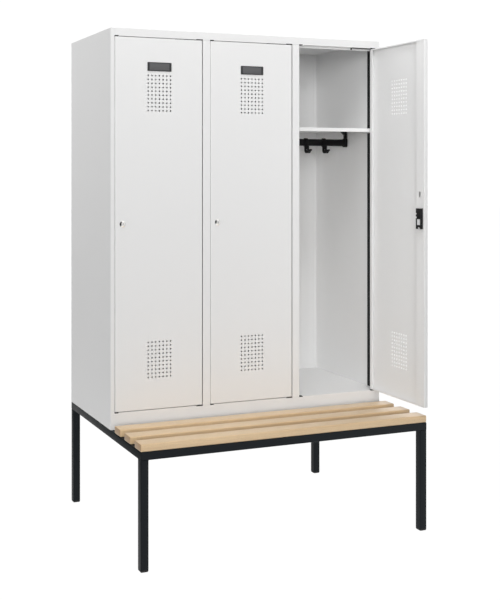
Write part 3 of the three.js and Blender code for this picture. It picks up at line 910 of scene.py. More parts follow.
@dataclass
class SlatScrew:
    """A screw that holds a slat from below."""

    head: float = 4.2 * MM
    height: float = 1.9 * MM
    recess: float = 1.5 * MM
    steps: int = 24

    def mesh(self) -> bpy.types.Mesh:
        """Makes its domed head with a round recess, which looks down Y.

        Returns:
            The mesh.
        """
        seat, recess_foot = self.head * 0.96, self.recess * 0.8
        mouth, foot, middle = -self.height * 0.98, -self.height * 0.35, -self.height * 0.3
        profile = [(AXIS, 0), (seat, 0), *dome(self.head, self.height, 10, 7), (self.recess, mouth),
                   (recess_foot, foot), (AXIS, middle)]
        return lathe(profile, self.steps).mesh("pan_head_screw", 30)


@dataclass
class Underframe:
    """Welded square-tube frame that carries the body and the bench, on four glides.

    Each ring of a glide is a height above the floor and an inset from the tube's side, in millimetres.
    """

    tube: float = 30 * MM
    corner: float = 3 * MM
    steps: int = 5
    joint_round: float = 1.6 * MM
    least_round: float = 0.15 * MM
    joint_steps: int = 3
    leg_overlap: float = 0.2 * MM
    bead: float = 1.4 * MM
    bead_inset: float = 0.3 * MM
    bead_stations: int = 60
    bead_sides: int = 8
    bead_slope: float = 8
    bead_start: float = 0.25
    ripple: float = 0.12
    ripple_step: float = 1.9
    glide_rings: Sequence[Point2] = ((0, 3.4), (0.4, 2.2), (1.6, 1.0), (3, 0.4), (6.4, 0.1), (7.4, 0.4))
    glide_neck: float = 1.2

    def section(self) -> list[Point2]:
        """Draws the tube's outline about its axis."""
        return rounded_rectangle(self.tube, self.tube, self.corner, self.steps)

    def build(self) -> None:
        """Builds the ring of rails, the cross bar, the legs with their weld beads, and the glides."""
        self.build_ring()
        low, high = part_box("frame_cross_bar")
        bar = bar_along_x(self.section(), low.x, high.x)
        put("cross_bar", bar.mesh("cross_bar"), ANTHRACITE, CABINET,
            Matrix.Translation((0, (low.y + high.y) / 2, (low.z + high.z) / 2)), ["frame_cross_bar"])
        self.build_legs()

    def build_ring(self) -> None:
        """Builds the four rails as one ring with welded corners."""
        left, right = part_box("frame_rail_left"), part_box("frame_rail_right")
        front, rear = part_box("frame_rail_front"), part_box("frame_rail_rear")
        bounds = (left[0].x, right[1].x, front[0].y, rear[1].y)
        middle = (front[0].z + front[1].z) / 2
        rings = []
        for inward, height in reversed(self.section()):
            inset = inward + self.tube / 2
            corner = max(self.joint_round - inset, self.least_round)
            outline = inset_rectangle(bounds, [inset] * 4, corner, self.joint_steps)
            rings.append([(x, y, middle + height) for x, y in outline])
        shape = Shape()
        shape.loft(rings, closed=True)
        put("frame_ring", shape.mesh("frame_ring"), ANTHRACITE, CABINET,
            stands_for=[f"frame_rail_{name}" for name in ("front", "rear", "left", "right")])

    def build_legs(self) -> None:
        """Builds each leg, the bead that welds it to the rails, and its glide."""
        low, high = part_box("frame_leg_front_left")
        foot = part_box("foot_glide_front_left")[0]
        leg = bar_along_x(self.section(), low.z, high.z + self.leg_overlap)
        leg.points = [(y, z, x) for x, y, z in leg.points]
        leg_mesh = leg.mesh("frame_leg")
        glide_mesh = self.glide(low.z - foot.z).mesh("foot_glide")
        bead_mesh = self.weld().mesh("weld_bead")
        for along in ("front", "rear"):
            for across in Across:
                where = f"{along}_{across.name.lower()}"
                node_low, node_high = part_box(f"frame_leg_{where}")
                x, y = (node_low.x + node_high.x) / 2, (node_low.y + node_high.y) / 2
                at = Matrix.Translation((x, y, 0))
                put(f"leg_{where}", leg_mesh, ANTHRACITE, CABINET, at,
                    [f"frame_leg_{where}"])
                put(f"glide_{where}", glide_mesh, GLIDE_PLASTIC, CABINET, at,
                    [f"foot_glide_{where}"])
                inward = math.atan2(1 if along == "front" else -1, -across.value)
                turn = Matrix.Rotation(inward - QUARTER_TURN / 2, 4, "Z")
                put(f"leg_weld_{where}", bead_mesh, ANTHRACITE, CABINET,
                    Matrix.Translation((x, y, node_high.z)) @ turn)

    def glide(self, height: float) -> Shape:
        """Makes a glide that caps the tube's end.

        Args:
            height: How far it stands below the tube.

        Returns:
            Its shape, on the floor about the leg's axis.
        """
        rings = []
        for z, inset in (*self.glide_rings, (height / MM, self.glide_neck)):
            side = self.tube - 2 * inset * MM
            rings.append([(x, y, z * MM) for x, y in rounded_rectangle(side, side, self.corner, self.steps)])
        shape = Shape()
        shape.loft(rings)
        return shape

    def weld(self) -> Shape:
        """Makes the bead along the two inner sides of a leg's top, with the rippled crown of a weld.

        Returns:
            Its shape, about the leg's axis.
        """
        reach = self.tube / 2 - self.bead_inset
        start, bend, end = Vector((-reach, reach)), Vector((reach, reach)), Vector((reach, -reach))
        rings = []
        for i in range(self.bead_stations + 1):
            way = 2 * i / self.bead_stations
            spot = start.lerp(bend, way) if way <= 1 else bend.lerp(end, way - 1)
            outward = Vector((float(way >= 1), float(way <= 1))).normalized()
            taper = min(1, self.bead_slope * min(way, 2 - way) + self.bead_start)
            radius = self.bead * (1 + self.ripple * math.sin(i * self.ripple_step)) * taper
            ring = []
            for a in (FULL_TURN * k / self.bead_sides for k in range(self.bead_sides)):
                off = outward * (radius * math.cos(a))
                ring.append((spot.x + off.x, spot.y + off.y, radius * math.sin(a)))
            rings.append(ring)
        shape = Shape()
        shape.loft(rings)
        return shape


@dataclass
class Bench:
    """Three beech slats, screwed to the frame from below."""

    edge: float = 4 * MM
    least_round: float = 0.1 * MM
    steps: int = 5
    screw_inset: float = 15 * MM

    def build(self) -> None:
        """Builds the slats and the screws that hold them."""
        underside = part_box("frame_rail_front")[0].z
        screw = SlatScrew().mesh()
        downwards = Vector((0, -1, 0)).rotation_difference(Vector((0, 0, -1))).to_matrix().to_4x4()
        for name in ("rear", "middle", "front"):
            low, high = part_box(f"bench_slat_{name}")
            centre, size = (low + high) / 2, high - low
            put(f"slat_{name}", self.slat(size).mesh(f"slat_{name}"), BEECH, CABINET,
                Matrix.Translation(centre), [f"bench_slat_{name}"])
            for across in Across:
                spot = (across.value * (size.x / 2 - self.screw_inset), centre.y, underside)
                put(f"slat_screw_{name}_{across.name.lower()}", screw, STEEL_SCREW, CABINET,
                    Matrix.Translation(spot) @ downwards)

    def slat(self, size: Vector) -> Shape:
        """Makes a slat with all its edges rounded.

        Args:
            size: Its length, depth and thickness.

        Returns:
            Its shape, about its middle.
        """
        half = size.x / 2
        stations = [(-half + self.edge * (1 - math.cos(a)), self.edge * (1 - math.sin(a)))
                    for a in quarter_turns(self.steps)]
        rings = []
        for x, inset in [*stations, *((-x, inset) for x, inset in reversed(stations))]:
            corner = max(self.edge - inset, self.least_round)
            outline = rounded_rectangle(size.y - 2 * inset, size.z - 2 * inset, corner, self.steps)
            rings.append([(x, y, z) for y, z in outline])
        shape = Shape()
        shape.loft(rings)
        return shape


@dataclass
class Body:
    """Folded sheet-steel body, with the rivets of its back."""

    fold: float = 0.35 * MM
    rivet_pitch: float = 250 * MM
    rivet_inset: float = 8 * MM
    rivet_ends: float = 40 * MM
    rivet_head: float = 3.4 * MM
    rivet_height: float = 1.1 * MM
    rivet_bore: float = 0.9 * MM
    rivet_steps: int = 20

    def build(self) -> None:
        """Dresses the sheets and sets the rivets of the back."""
        for node in ("side_panel_left", "side_panel_right", "divider_left", "divider_right", "back_panel",
                     "top_panel", "bottom_panel", *(f"hat_shelf_{side.value}" for side in Side)):
            dress(node, LIGHT_GREY, self.fold)
        self.build_rivets()

    def rivet(self) -> bpy.types.Mesh:
        """Makes the low domed head of a blind rivet, which looks down Y.

        Returns:
            The mesh.
        """
        mouth, foot = -self.rivet_height * 0.97, -self.rivet_height * 0.5
        profile = [(AXIS, 0), *dome(self.rivet_head, self.rivet_height, 12, 6), (self.rivet_bore, mouth),
                   (self.rivet_bore, foot), (AXIS, foot)]
        return lathe(profile, self.rivet_steps).mesh("rivet", 40)

    def build_rivets(self) -> None:
        """Sets a row of rivets down each edge of the back and each divider."""
        low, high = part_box("back_panel")
        mesh = self.rivet()
        span = high.z - low.z - 2 * self.rivet_ends
        count = round(span / self.rivet_pitch)
        columns = {
            "left": low.x + self.rivet_inset,
            "mid_left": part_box("divider_left")[0].x + self.rivet_inset * 2,
            "mid_right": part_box("divider_right")[1].x - self.rivet_inset * 2,
            "right": high.x - self.rivet_inset,
        }
        turn = Matrix.Rotation(math.pi, 4, "Z")
        for name, x in columns.items():
            for i in range(count + 1):
                z = low.z + self.rivet_ends + span * i / count
                at = Matrix.Translation((x, high.y, z)) @ turn
                put(f"back_rivet_{name}_{i + 1}", mesh, LIGHT_GREY, CABINET, at)


@dataclass
class CoatHook:
    """A moulded hook: a collar round the rail, a flat stem in front of it and a prong that turns up."""

    width: float = 14 * MM
    wall: float = 3.5 * MM
    clearance: float = 0.4 * MM
    rail: Point2 = (15 * MM, 30 * MM)
    rim: float = 1.0 * MM
    bore_rim: float = 0.3 * MM
    rim_steps: int = 3
    oval_steps: int = 12
    stem_width: float = 21.5 * MM
    stem_wall: float = 7 * MM
    stem_overlap: float = 0.2 * MM
    stem_steps: int = 6
    tip_width: float = 13 * MM
    edge: float = 1.2 * MM
    drop: float = 19 * MM
    bend: float = 10 * MM
    bend_turn: float = 0.8 * math.pi
    bend_steps: int = 10
    reach: float = 23 * MM
    rise: float = 11 * MM
    prong_steps: int = 4
    wide_steps: int = 11
    thinning: float = 0.1
    round_margin: float = 0.2 * MM
    tip_angles: Sequence[float] = (30, 55, 75, 88)
    hole: float = 2.8 * MM
    hole_drop: float = 16.5 * MM
    hole_steps: int = 20

    def mesh(self) -> bpy.types.Mesh:
        """Makes the hook's mesh about the rail's axis.

        Returns:
            The mesh, with the hole through its stem.
        """
        shape = Shape()
        self.add_collar(shape)
        self.add_prong(shape)
        drill = bar_along_x(circle((0, 0), self.hole, self.hole_steps), -self.bend, self.bend)
        drill.points = [(y, x - self.bend, z - self.rail[1] / 2 - self.hole_drop) for x, y, z in drill.points]
        return carve(shape.mesh("coat_hook"), [drill.mesh("drill")], 40)

    def oval(self, growth: float) -> list[Point2]:
        """Draws the rail's oval in Y and Z, grown all round."""
        width = self.rail[0] + 2 * growth
        return rounded_rectangle(width, self.rail[1] + 2 * growth, width / 2 - 0.01 * MM, self.oval_steps)

    def add_collar(self, shape: Shape) -> None:
        """Adds the collar, with rounded rims.

        Args:
            shape: What it is added to.
        """
        half, rim = self.width / 2, self.rim
        inner, outer = self.clearance, self.clearance + self.wall
        stations = [(-half, inner + self.bore_rim), (-half, outer - rim)]
        stations += [(-half + rim * (1 - math.cos(a)), outer - rim * (1 - math.sin(a)))
                     for a in quarter_turns(self.rim_steps)[1:]]
        stations += [(-x, growth) for x, growth in reversed(stations)]
        stations += [(half - self.bore_rim, inner), (-half + self.bore_rim, inner)]
        shape.loft([[(x, y, z) for y, z in self.oval(growth)] for x, growth in stations], closed=True)

    def line(self) -> list[Vector]:
        """Draws the middle line of the stem and the prong, in Y and Z.

        Returns:
            Its points, from the collar to the tip.
        """
        top = -self.rail[1] / 2
        bend_z = top - self.drop
        stem_y = -self.rail[0] / 2 - self.clearance - self.wall + self.stem_wall / 2 - self.stem_overlap
        middle = stem_y - self.bend
        line = [Vector((stem_y, top + (bend_z - top) * i / self.stem_steps)) for i in range(self.stem_steps)]
        angles = [-self.bend_turn * i / self.bend_steps for i in range(self.bend_steps + 1)]
        line += [Vector((middle + self.bend * math.cos(a), bend_z + self.bend * math.sin(a))) for a in angles]
        start, tip = line[-1], Vector((middle - self.reach, bend_z - self.bend + self.rise))
        return [*line, *(start.lerp(tip, i / self.prong_steps) for i in range(1, self.prong_steps + 1))]

    @staticmethod
    def stand(section: Sequence[Point2], spot: Vector, along: Vector) -> list[tuple[float, float, float]]:
        """Stands a section at a spot, square to a direction in Y and Z."""
        sideways = Vector((-along.y, along.x))
        return [(u, spot.x + sideways.x * v, spot.y + sideways.y * v) for u, v in section]

    def add_prong(self, shape: Shape) -> None:
        """Adds the stem and prong, which narrow towards a ball tip.

        Args:
            shape: What they are added to.
        """
        line = self.line()
        count = len(line) - 1
        rings = []
        for i, spot in enumerate(line):
            along = (line[min(i + 1, count)] - line[max(i - 1, 0)]).normalized()
            share = max(0.0, (i - self.wide_steps) / (count - self.wide_steps))
            width = self.stem_width + (self.tip_width - self.stem_width) * share
            thick = self.stem_wall * (1 - self.thinning * share)
            corner = self.edge + (thick / 2 - self.round_margin - self.edge) * share
            rings.append(self.stand(rounded_rectangle(width, thick, corner), spot, along))
        along = (line[-1] - line[-2]).normalized()
        for angle in map(math.radians, self.tip_angles):
            shrink = math.cos(angle)
            spot = line[-1] + along * (self.stem_wall * 0.5 * math.sin(angle))
            width = self.tip_width * (0.35 + 0.65 * shrink)
            thick = self.stem_wall * 0.9 * max(shrink, 0.08)
            rings.append(self.stand(rounded_rectangle(width, thick, thick / 2 * 0.93), spot, along))
        shape.loft(rings)


@dataclass
class Compartment:
    """What one compartment holds: its coat rail with two brackets, three sliding hooks and a flat black strip
    on its right-hand wall.
    """

    side: Side
    hook: CoatHook
    hook_mesh: bpy.types.Mesh
    hook_count: int = 3
    rail_round: float = 7.49 * MM
    rail_steps: int = 10
    rail_inset: float = 4 * MM
    bracket_depth: float = 12 * MM
    bracket_round: float = 6 * MM
    bracket_edge: float = 1.0 * MM
    arm: float = 12 * MM
    rim: float = 4 * MM
    foot: float = 27 * MM
    foot_thick: float = 6 * MM
    flare: float = 21 * MM
    socket: float = 15 * MM
    socket_width: float = 19 * MM
    socket_edge: float = 1.2 * MM
    strip_thick: float = 2.4 * MM
    strip_start: float = 40 * MM
    strip_end: float = 83 * MM
    strip_gap: float = 2 * MM
    wall_gap: float = 0.5 * MM
    floor_gap: float = 0.3 * MM
    ceiling_gap: float = 3 * MM

    def build(self) -> None:
        """Builds the rail and its brackets, hangs the hooks and fixes the strip."""
        name = self.side.value
        low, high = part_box(f"coat_rail_{name}")
        width, height = self.hook.rail
        axis_y = (low.y + high.y) / 2
        axis_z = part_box(f"coat_hook_{name}_1")[1].z - height / 2 - self.hook.clearance - self.hook.wall
        tube = bar_along_x(rounded_rectangle(width, height, self.rail_round, self.rail_steps),
                           low.x + self.rail_inset, high.x - self.rail_inset)
        at = Matrix.Translation((0, axis_y, axis_z))
        put(f"rail_{name}", tube.mesh("coat_rail"), BLACK_PAINT, CABINET, at,
            [f"coat_rail_{name}"])
        for across in Across:
            wall = low.x if across is Across.LEFT else high.x
            self.build_bracket(across, wall, (axis_y, axis_z), high.z)
        for n in range(1, self.hook_count + 1):
            node = f"coat_hook_{name}_{n}"
            node_low, node_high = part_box(node)
            at = Matrix.Translation(((node_low.x + node_high.x) / 2, axis_y, axis_z))
            put(f"hook_{name}_{n}", self.hook_mesh, HOOK_PLASTIC, node, at, [node])
        self.build_strip()

    def build_bracket(self, across: Across, wall: float, axis: Point2, top: float) -> None:
        """Builds the bracket at an end of the rail, and the socket that takes the rail's end.

        Args:
            across: Which end it is at.
            wall: Place of the wall on X.
            axis: Place of the rail's axis on Y and Z.
            top: Underside of the shelf.
        """
        inward = -across.value
        height = self.hook.rail[1]
        radius = self.bracket_round
        bend = axis[1] - height / 2 - self.rim + radius
        outline = [
            (wall, top),
            (wall, bend),
            *[(wall + inward * (radius - u), v) for u, v in arc((0, bend), radius, 0, -90, 5)],
            *[(wall + inward * (self.arm - radius + u), v) for u, v in arc((0, bend), radius, -90, 0, 5)],
            (wall + inward * self.arm, top - self.flare),
            (wall + inward * self.foot, top - self.foot_thick),
            (wall + inward * self.foot, top),
        ]
        if inward > 0:
            outline.reverse()
        front = axis[0] - self.bracket_depth / 2
        shape = prism(outline, lambda p: (p[0], front, p[1]), (0, self.bracket_depth, 0))
        name = f"rail_bracket_{self.side.value}_{across.name.lower()}"
        piece = put(name, shape.mesh(name), BLACK_PAINT, CABINET)
        soften(piece, self.bracket_edge)
        section = rounded_rectangle(self.socket_width, height + 2 * self.rim, radius, 5)
        cup = bar_along_x(section, 0, self.socket, self.socket_edge, 3)
        at = Matrix.Translation((wall if inward > 0 else wall - self.socket, *axis))
        label = f"rail_socket_{self.side.value}_{across.name.lower()}"
        put(label, cup.mesh(label), BLACK_PAINT, CABINET, at)

    def build_strip(self) -> None:
        """Fixes a flat black strip to the right-hand wall, above and below the shelf, along the dark band
        that runs down that wall.
        """
        name = self.side.value
        shelf_low, shelf_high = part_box(f"hat_shelf_{name}")
        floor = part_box("bottom_panel")[1].z + self.floor_gap
        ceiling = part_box("top_panel")[1].z - self.ceiling_gap
        wall = shelf_high.x + self.wall_gap
        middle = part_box("side_panel_left")[0].y + (self.strip_start + self.strip_end) / 2
        thick, depth = self.strip_thick, self.strip_end - self.strip_start
        for part, low, high in (("lower", floor, shelf_low.z - self.strip_gap),
                                ("upper", shelf_high.z + self.strip_gap, ceiling)):
            block = cushion_block((high - low, depth, thick * 2), thick * 0.6)
            block.points = [(max(min(z, 0), -thick), y, x) for x, y, z in block.points]
            block.faces = [tuple(reversed(face)) for face in block.faces]
            label = f"guard_strip_{name}_{part}"
            put(label, block.mesh(label), BLACK_STRIP_FILM, CABINET,
                Matrix.Translation((wall, middle, (low + high) / 2)))


@dataclass
class Bearings:
    """Black plastic parts in the frame of an opening, above and below its door."""

    side: Side
    header: float = 30 * MM
    flange: float = 16 * MM
    hinge_width: float = 28 * MM
    foot_width: float = 22 * MM
    lock_width: float = 16 * MM
    notch: float = 2 * MM
    tab_depth: float = 1 * MM
    depth: float = 18 * MM
    plate: float = 1.2 * MM
    play: float = 0.1 * MM
    front_play: float = 0.2 * MM
    side_play: float = 0.3 * MM
    bush_corner: float = 4 * MM
    plug_corner: float = 8 * MM
    pivot: Point2 = (10.5 * MM, 5.5 * MM)
    bore: float = 3.3 * MM
    bore_steps: int = 20
    strip_reach: Point2 = (102 * MM, 12 * MM)
    strip_depths: Point2 = (1.5 * MM, 19.5 * MM)
    strip_corner: float = 1.2 * MM
    stop: Point2 = (5 * MM, 3 * MM)
    stop_corner: float = 0.6 * MM
    stop_height: float = 8 * MM

    def __post_init__(self) -> None:
        """Reads the opening's place from the body."""
        body_low, body_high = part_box("side_panel_left")[0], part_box("side_panel_right")[1]
        pitch = (body_high.x - body_low.x) / len(Side)
        index = list(Side).index(self.side)
        self.left = body_low.x + pitch * index + self.flange
        self.right = body_low.x + pitch * (index + 1) - self.flange
        self.front = body_low.y
        self.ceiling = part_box("top_panel")[1].z - self.header
        self.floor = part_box("bottom_panel")[1].z

    def build(self) -> None:
        """Builds the bushes of the pivots, the plugs beside the lock and the strip under the header."""
        name = self.side.value
        for end, edge, upward, width in (("top", self.ceiling, 1, self.hinge_width),
                                         ("bottom", self.floor, -1, self.foot_width)):
            self.fix(f"pivot_bush_{name}_{end}", self.bush(edge, upward, width))
            self.fix(f"frame_plug_{name}_{end}", self.lock_plug(edge, upward))
        self.fix(f"slide_strip_{name}", self.strip())

    def fix(self, name: str, shape: Shape) -> None:
        """Puts one of the parts in its place."""
        put(name, shape.mesh(name), GLIDE_PLASTIC, CABINET)

    def slab(self, shape: Shape, outline: Sequence[Point2], heights: Point2,
             holes: Sequence[Sequence[Point2]] = ()) -> None:
        """Adds a flat slab between two heights.

        Args:
            shape: What it is added to.
            outline: Its outline in X and Y, anticlockwise.
            heights: Heights of its underside and its top.
            holes: Outlines of holes through it.
        """
        under, over = (shape.ring((x, y, z) for x, y in outline) for z in heights)
        shape.bridge(under, over)
        lower = shape.sheet(under, outline, holes, lambda p: (p[0], p[1], heights[0]), True)
        upper = shape.sheet(over, outline, holes, lambda p: (p[0], p[1], heights[1]), False)
        for near, far in zip(lower, upper):
            shape.bridge(far, near)

    def levels(self, edge: float, upward: int, first: float, second: float) -> Point2:
        """Gives two heights, in order, at distances from the sheet's edge into the opening."""
        heights = sorted((edge - upward * first, edge - upward * second))
        return heights[0], heights[1]

    def add_tab(self, shape: Shape, left: float, right: float, edge: float, upward: int) -> None:
        """Adds the tab that fills the notch in the folded sheet.

        Args:
            shape: What it is added to.
            left: Its left side.
            right: Its right side.
            edge: Height of the sheet.
            upward: One at the header, minus one at the plinth.
        """
        near, far = self.front + self.play, self.front + self.tab_depth
        outline = [(left, near), (right, near), (right, far), (left, far)]
        self.slab(shape, outline, self.levels(edge, upward, -self.notch + self.play, self.play))

    def bush(self, edge: float, upward: int, width: float) -> Shape:
        """Makes a bush: a plate under the folded sheet, a hole for the pin and a tab in the notch.

        Args:
            edge: Height of the sheet.
            upward: One at the header, minus one at the plinth.
            width: Width of the plate.

        Returns:
            The shape, in place.
        """
        shape = Shape()
        right, corner = self.right - self.side_play, self.bush_corner
        front, back = self.front + self.front_play, self.front + self.depth
        outline = [(right - width + corner, front), (right, front),
                   *arc((right - corner, back - corner), corner, 0, 90, 4),
                   *arc((right - width + corner, back - corner), corner, 90, 180, 4),
                   (right - width, self.front + corner)]
        hole = circle((self.right - self.pivot[0], self.front + self.pivot[1]), self.bore, self.bore_steps)
        self.slab(shape, outline, self.levels(edge, upward, self.play, self.play + self.plate), [hole])
        self.add_tab(shape, self.right - self.hinge_width + self.play, self.right - self.play, edge, upward)
        return shape

    def lock_plug(self, edge: float, upward: int) -> Shape:
        """Makes the plug beside the lock, with one round corner at its back.

        Args:
            edge: Height of the sheet.
            upward: One at the header, minus one at the plinth.

        Returns:
            The shape, in place.
        """
        shape = Shape()
        left, right = self.left + self.play, self.left + self.lock_width - self.play
        front, back, corner = self.front + self.front_play, self.front + self.depth, self.plug_corner
        outline = [(left, front), (right, front), *arc((right - corner, back - corner), corner, 0, 90, 5),
                   (left, back)]
        self.slab(shape, outline, self.levels(edge, upward, self.play, self.play + self.plate))
        self.add_tab(shape, left, right, edge, upward)
        return shape

    def strip(self) -> Shape:
        """Makes the strip that the door's top runs under, with a block at its end before the stop lip.

        Returns:
            The shape, in place.
        """
        shape = Shape()
        left, right = (self.right - self.pivot[0] - reach for reach in self.strip_reach)
        front, back = (self.front + depth for depth in self.strip_depths)
        outline = inset_rectangle((left, right, front, back), NO_INSET, self.strip_corner, 3)
        self.slab(shape, outline, self.levels(self.ceiling, 1, self.play, self.play + self.plate))
        bounds = (left, left + self.stop[0], back - self.stop[1], back)
        block = inset_rectangle(bounds, NO_INSET, self.stop_corner, 2)
        self.slab(shape, block, self.levels(self.ceiling, 1, self.plate, self.stop_height))
        return shape


@dataclass
class Door:
    """A ventilated steel door with its stiffener, lock and label holder.

    The lock's blocks, rods, key slot and cam are in millimetres, and all other sizes in metres. The case and
    what fits it are measured from the door's free edge and the height of the lock. The cuts in the case are
    the bolt's pocket, the window, two bites in its hinge side and the notch in its foot. A rod is a radius
    and its two ends on Y.
    """

    side: Side
    shared: dict[str, bpy.types.Mesh]
    sheet: float = 1 * MM
    thickness: float = 16 * MM
    bend: float = 1.9 * MM
    bend_steps: int = 4
    corner: float = 2.4 * MM
    least_round: float = 0.2 * MM
    face_margin: float = 0.6 * MM
    end_lip: float = 6 * MM
    hinge_lip: float = 16 * MM
    soft: float = 0.3 * MM
    vent_columns: int = 7
    vent_rows: int = 10
    vent_pitch: Point2 = (15.5 * MM, 15 * MM)
    vent_radius: float = 3.3 * MM
    vent_steps: int = 14
    upper_vents: float = 212 * MM
    lower_vents: float = 190.5 * MM
    pivot_inset: float = 8 * MM
    pivot_depth: float = 5.5 * MM
    pivot_length: float = 6 * MM
    pivot_radius: float = 3 * MM
    pivot_seat: float = 2 * MM
    pivot_chamfer: float = 0.8 * MM
    lock_inset: float = 30 * MM
    lock_hole: float = 9.4 * MM
    case_blank: Block = ((10, 15.4, -23), (38, 27.2, 57))
    case_cuts: Sequence[Block] = (
        ((9, 19.2, -7.5), (35.5, 23.2, 19.5)),
        ((12, 22, -7.5), (31.5, 28, 15.5)),
        ((33, 15, 18.5), (39, 28, 25)),
        ((33.5, 15, 33.5), (39, 28, 38.5)),
        ((11, 21, -24), (24.5, 28, -15.5)),
    )
    case_edge: float = 0.4 * MM
    barrel_pocket: tuple[float, float, float] = (12, 15, 19.9)
    window_plate: Block = ((12.3, 23.6, -7.2), (31.2, 26.7, 15.2))
    plate_hole: tuple[float, float, float] = (2, 25, 28)
    plate_hole_place: Point2 = (16.5, -3)
    # Pale tab in the case's foot notch: a painted highlight.
    foot_highlight_tab: Block = ((11.4, 21.2, -22.4), (24.2, 26.7, -15.8))
    bolt_nose: Block = ((8.6, 19.3, -7.4), (9.9, 23.1, 19.4))
    # Black block that fills the key slot: painted shade.
    slot_shade_block: Block = ((-1.5, -5.0, -3.9), (1.5, 3.4, 3.9))
    key_slot: tuple[float, float, float] = (3.2, 8.2, 1.1)
    key_depth: float = 9
    cam: tuple[float, float, float] = (7, 1.2, 9)
    cam_place: Point2 = (17.8, 4.5)
    label_size: Point2 = (100 * MM, 34 * MM)
    label_drop: float = 93 * MM
    label_grips: Point2 = (8 * MM, 3 * MM)

    def __post_init__(self) -> None:
        """Reads the door's place from its node: a closed door is wide on X, an open one on Y."""
        low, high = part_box(f"door_skin_{self.side.value}")
        size = high - low
        self.width = max(size.x, size.y)
        self.bottom = low.z + self.pivot_length
        self.top = high.z - self.pivot_length
        self.lock_height = (self.bottom + self.top) / 2
        if size.x > size.y:
            self.at = Matrix.Translation((low.x, low.y, 0))
        else:
            self.at = Matrix.Translation((high.x, low.y, 0)) @ Matrix.Rotation(QUARTER_TURN, 4, "Z")
        self.body = f"door_{self.side.value}"

    def build(self) -> None:
        """Builds the pan, the pivot pins, the lock and the label holder, and dresses the rest."""
        name = self.side.value
        put(f"door_pan_{name}", self.share("pan", self.pan), LIGHT_GREY, self.body,
            self.at, [f"door_skin_{name}"])
        for end, z, upward in (("top", self.top, 1), ("bottom", self.bottom, -1)):
            turn = Matrix.Rotation(-upward * QUARTER_TURN, 4, "X")
            spot = Matrix.Translation((self.width - self.pivot_inset, self.pivot_depth, z))
            put(f"pivot_pin_{name}_{end}", self.share("pin", self.pin), ZINC, self.body,
                self.at @ spot @ turn)
        dress(f"door_stiffener_{name}", LIGHT_GREY, self.soft)
        dress(f"lock_bolt_{name}", ZINC, self.soft)
        self.build_case()
        self.build_lock()
        self.build_label()

    def share(self, key: str, make: Callable[[], bpy.types.Mesh]) -> bpy.types.Mesh:
        """Gives a mesh that all doors share.

        Args:
            key: What it is kept under.
            make: Makes it for the first door.

        Returns:
            The mesh.
        """
        if key not in self.shared:
            self.shared[key] = make()
        return self.shared[key]

    def vents(self) -> list[list[Point2]]:
        """Draws the holes of both ventilation fields, in X and Z.

        Returns:
            The outline of each hole.
        """
        holes = []
        for middle in (self.top - self.upper_vents, self.bottom + self.lower_vents):
            for row in range(self.vent_rows):
                for column in range(self.vent_columns):
                    x = self.width / 2 + (column - (self.vent_columns - 1) / 2) * self.vent_pitch[0]
                    z = middle + (row - (self.vent_rows - 1) / 2) * self.vent_pitch[1]
                    holes.append(circle((x, z), self.vent_radius, self.vent_steps))
        return holes

    def folds(self) -> list[tuple[tuple[float, ...], float]]:
        """Draws the section of the pan's rim, from its face round the lip and back along the inside.

        Returns:
            Insets of the four sides, and the depth, of each station.
        """
        bend, sheet, deep = self.bend, self.sheet, self.thickness
        inner, flat = bend - sheet, bend + self.face_margin
        turns = quarter_turns(self.bend_steps)
        outside = [(flat, 0), *((bend * (1 - math.sin(a)), bend * (1 - math.cos(a))) for a in turns),
                   *((bend * (1 - math.cos(a)), deep - bend * (1 - math.sin(a))) for a in turns)]
        inside = [*((bend - inner * math.sin(a), deep - bend + inner * math.cos(a)) for a in turns),
                  *((bend - inner * math.cos(a), bend - inner * math.sin(a)) for a in turns), (flat, sheet)]
        lips = (self.end_lip, self.hinge_lip, self.end_lip, self.end_lip)
        return [*(((inset,) * 4, depth) for inset, depth in outside), (lips, deep), (lips, deep - sheet),
                *(((inset,) * 4, depth) for inset, depth in inside)]

    def pan(self) -> bpy.types.Mesh:
        """Makes the folded pan: its face, its rims and its lips are one sheet with round bends.

        Returns:
            The mesh.
        """
        bounds = (0, self.width, self.bottom, self.top)
        shape = Shape()
        rings, outlines = [], []
        for insets, depth in self.folds():
            outline = inset_rectangle(bounds, insets, max(self.corner - min(insets), self.least_round), 3)
            outlines.append(outline)
            rings.append(shape.ring((x, depth, z) for x, z in outline))
        for near, far in zip(rings, rings[1:]):
            shape.bridge(far, near)
        holes = [*self.vents(), circle((self.lock_inset, self.lock_height), self.lock_hole, 32)]
        outer = shape.sheet(rings[0], outlines[0], holes, lambda p: (p[0], 0, p[1]), False)
        inner = shape.sheet(rings[-1], outlines[-1], holes, lambda p: (p[0], self.sheet, p[1]), True)
        for near, far in zip(outer, inner):
            shape.bridge(near, far)
        return shape.mesh("door_pan", 32)

    def pin(self) -> bpy.types.Mesh:
        """Makes a pivot pin with a chamfered end that looks up.

        Returns:
            The mesh.
        """
        radius, end, chamfer = self.pivot_radius, -self.pivot_length, self.pivot_chamfer
        profile = [(AXIS, self.pivot_seat), (radius, self.pivot_seat), (radius, end + chamfer),
                   (radius - chamfer, end), (AXIS, end)]
        return lathe(profile, 24).mesh("pivot_pin", 30)

    def build_case(self) -> None:
        """Builds the lock's case, the bright plate in its window with the pale tab in its foot notch, which
        is a painted highlight, and the cap on its bolt.
        """
        name = self.side.value
        at = self.at @ Matrix.Translation((0, 0, self.lock_height))
        case = put(f"case_{name}", self.share("case", self.case), CASE_PLASTIC_AND_SLOT_SHADE, self.body, at,
                   [f"lock_case_{name}"])
        soften(case, self.case_edge, 2)
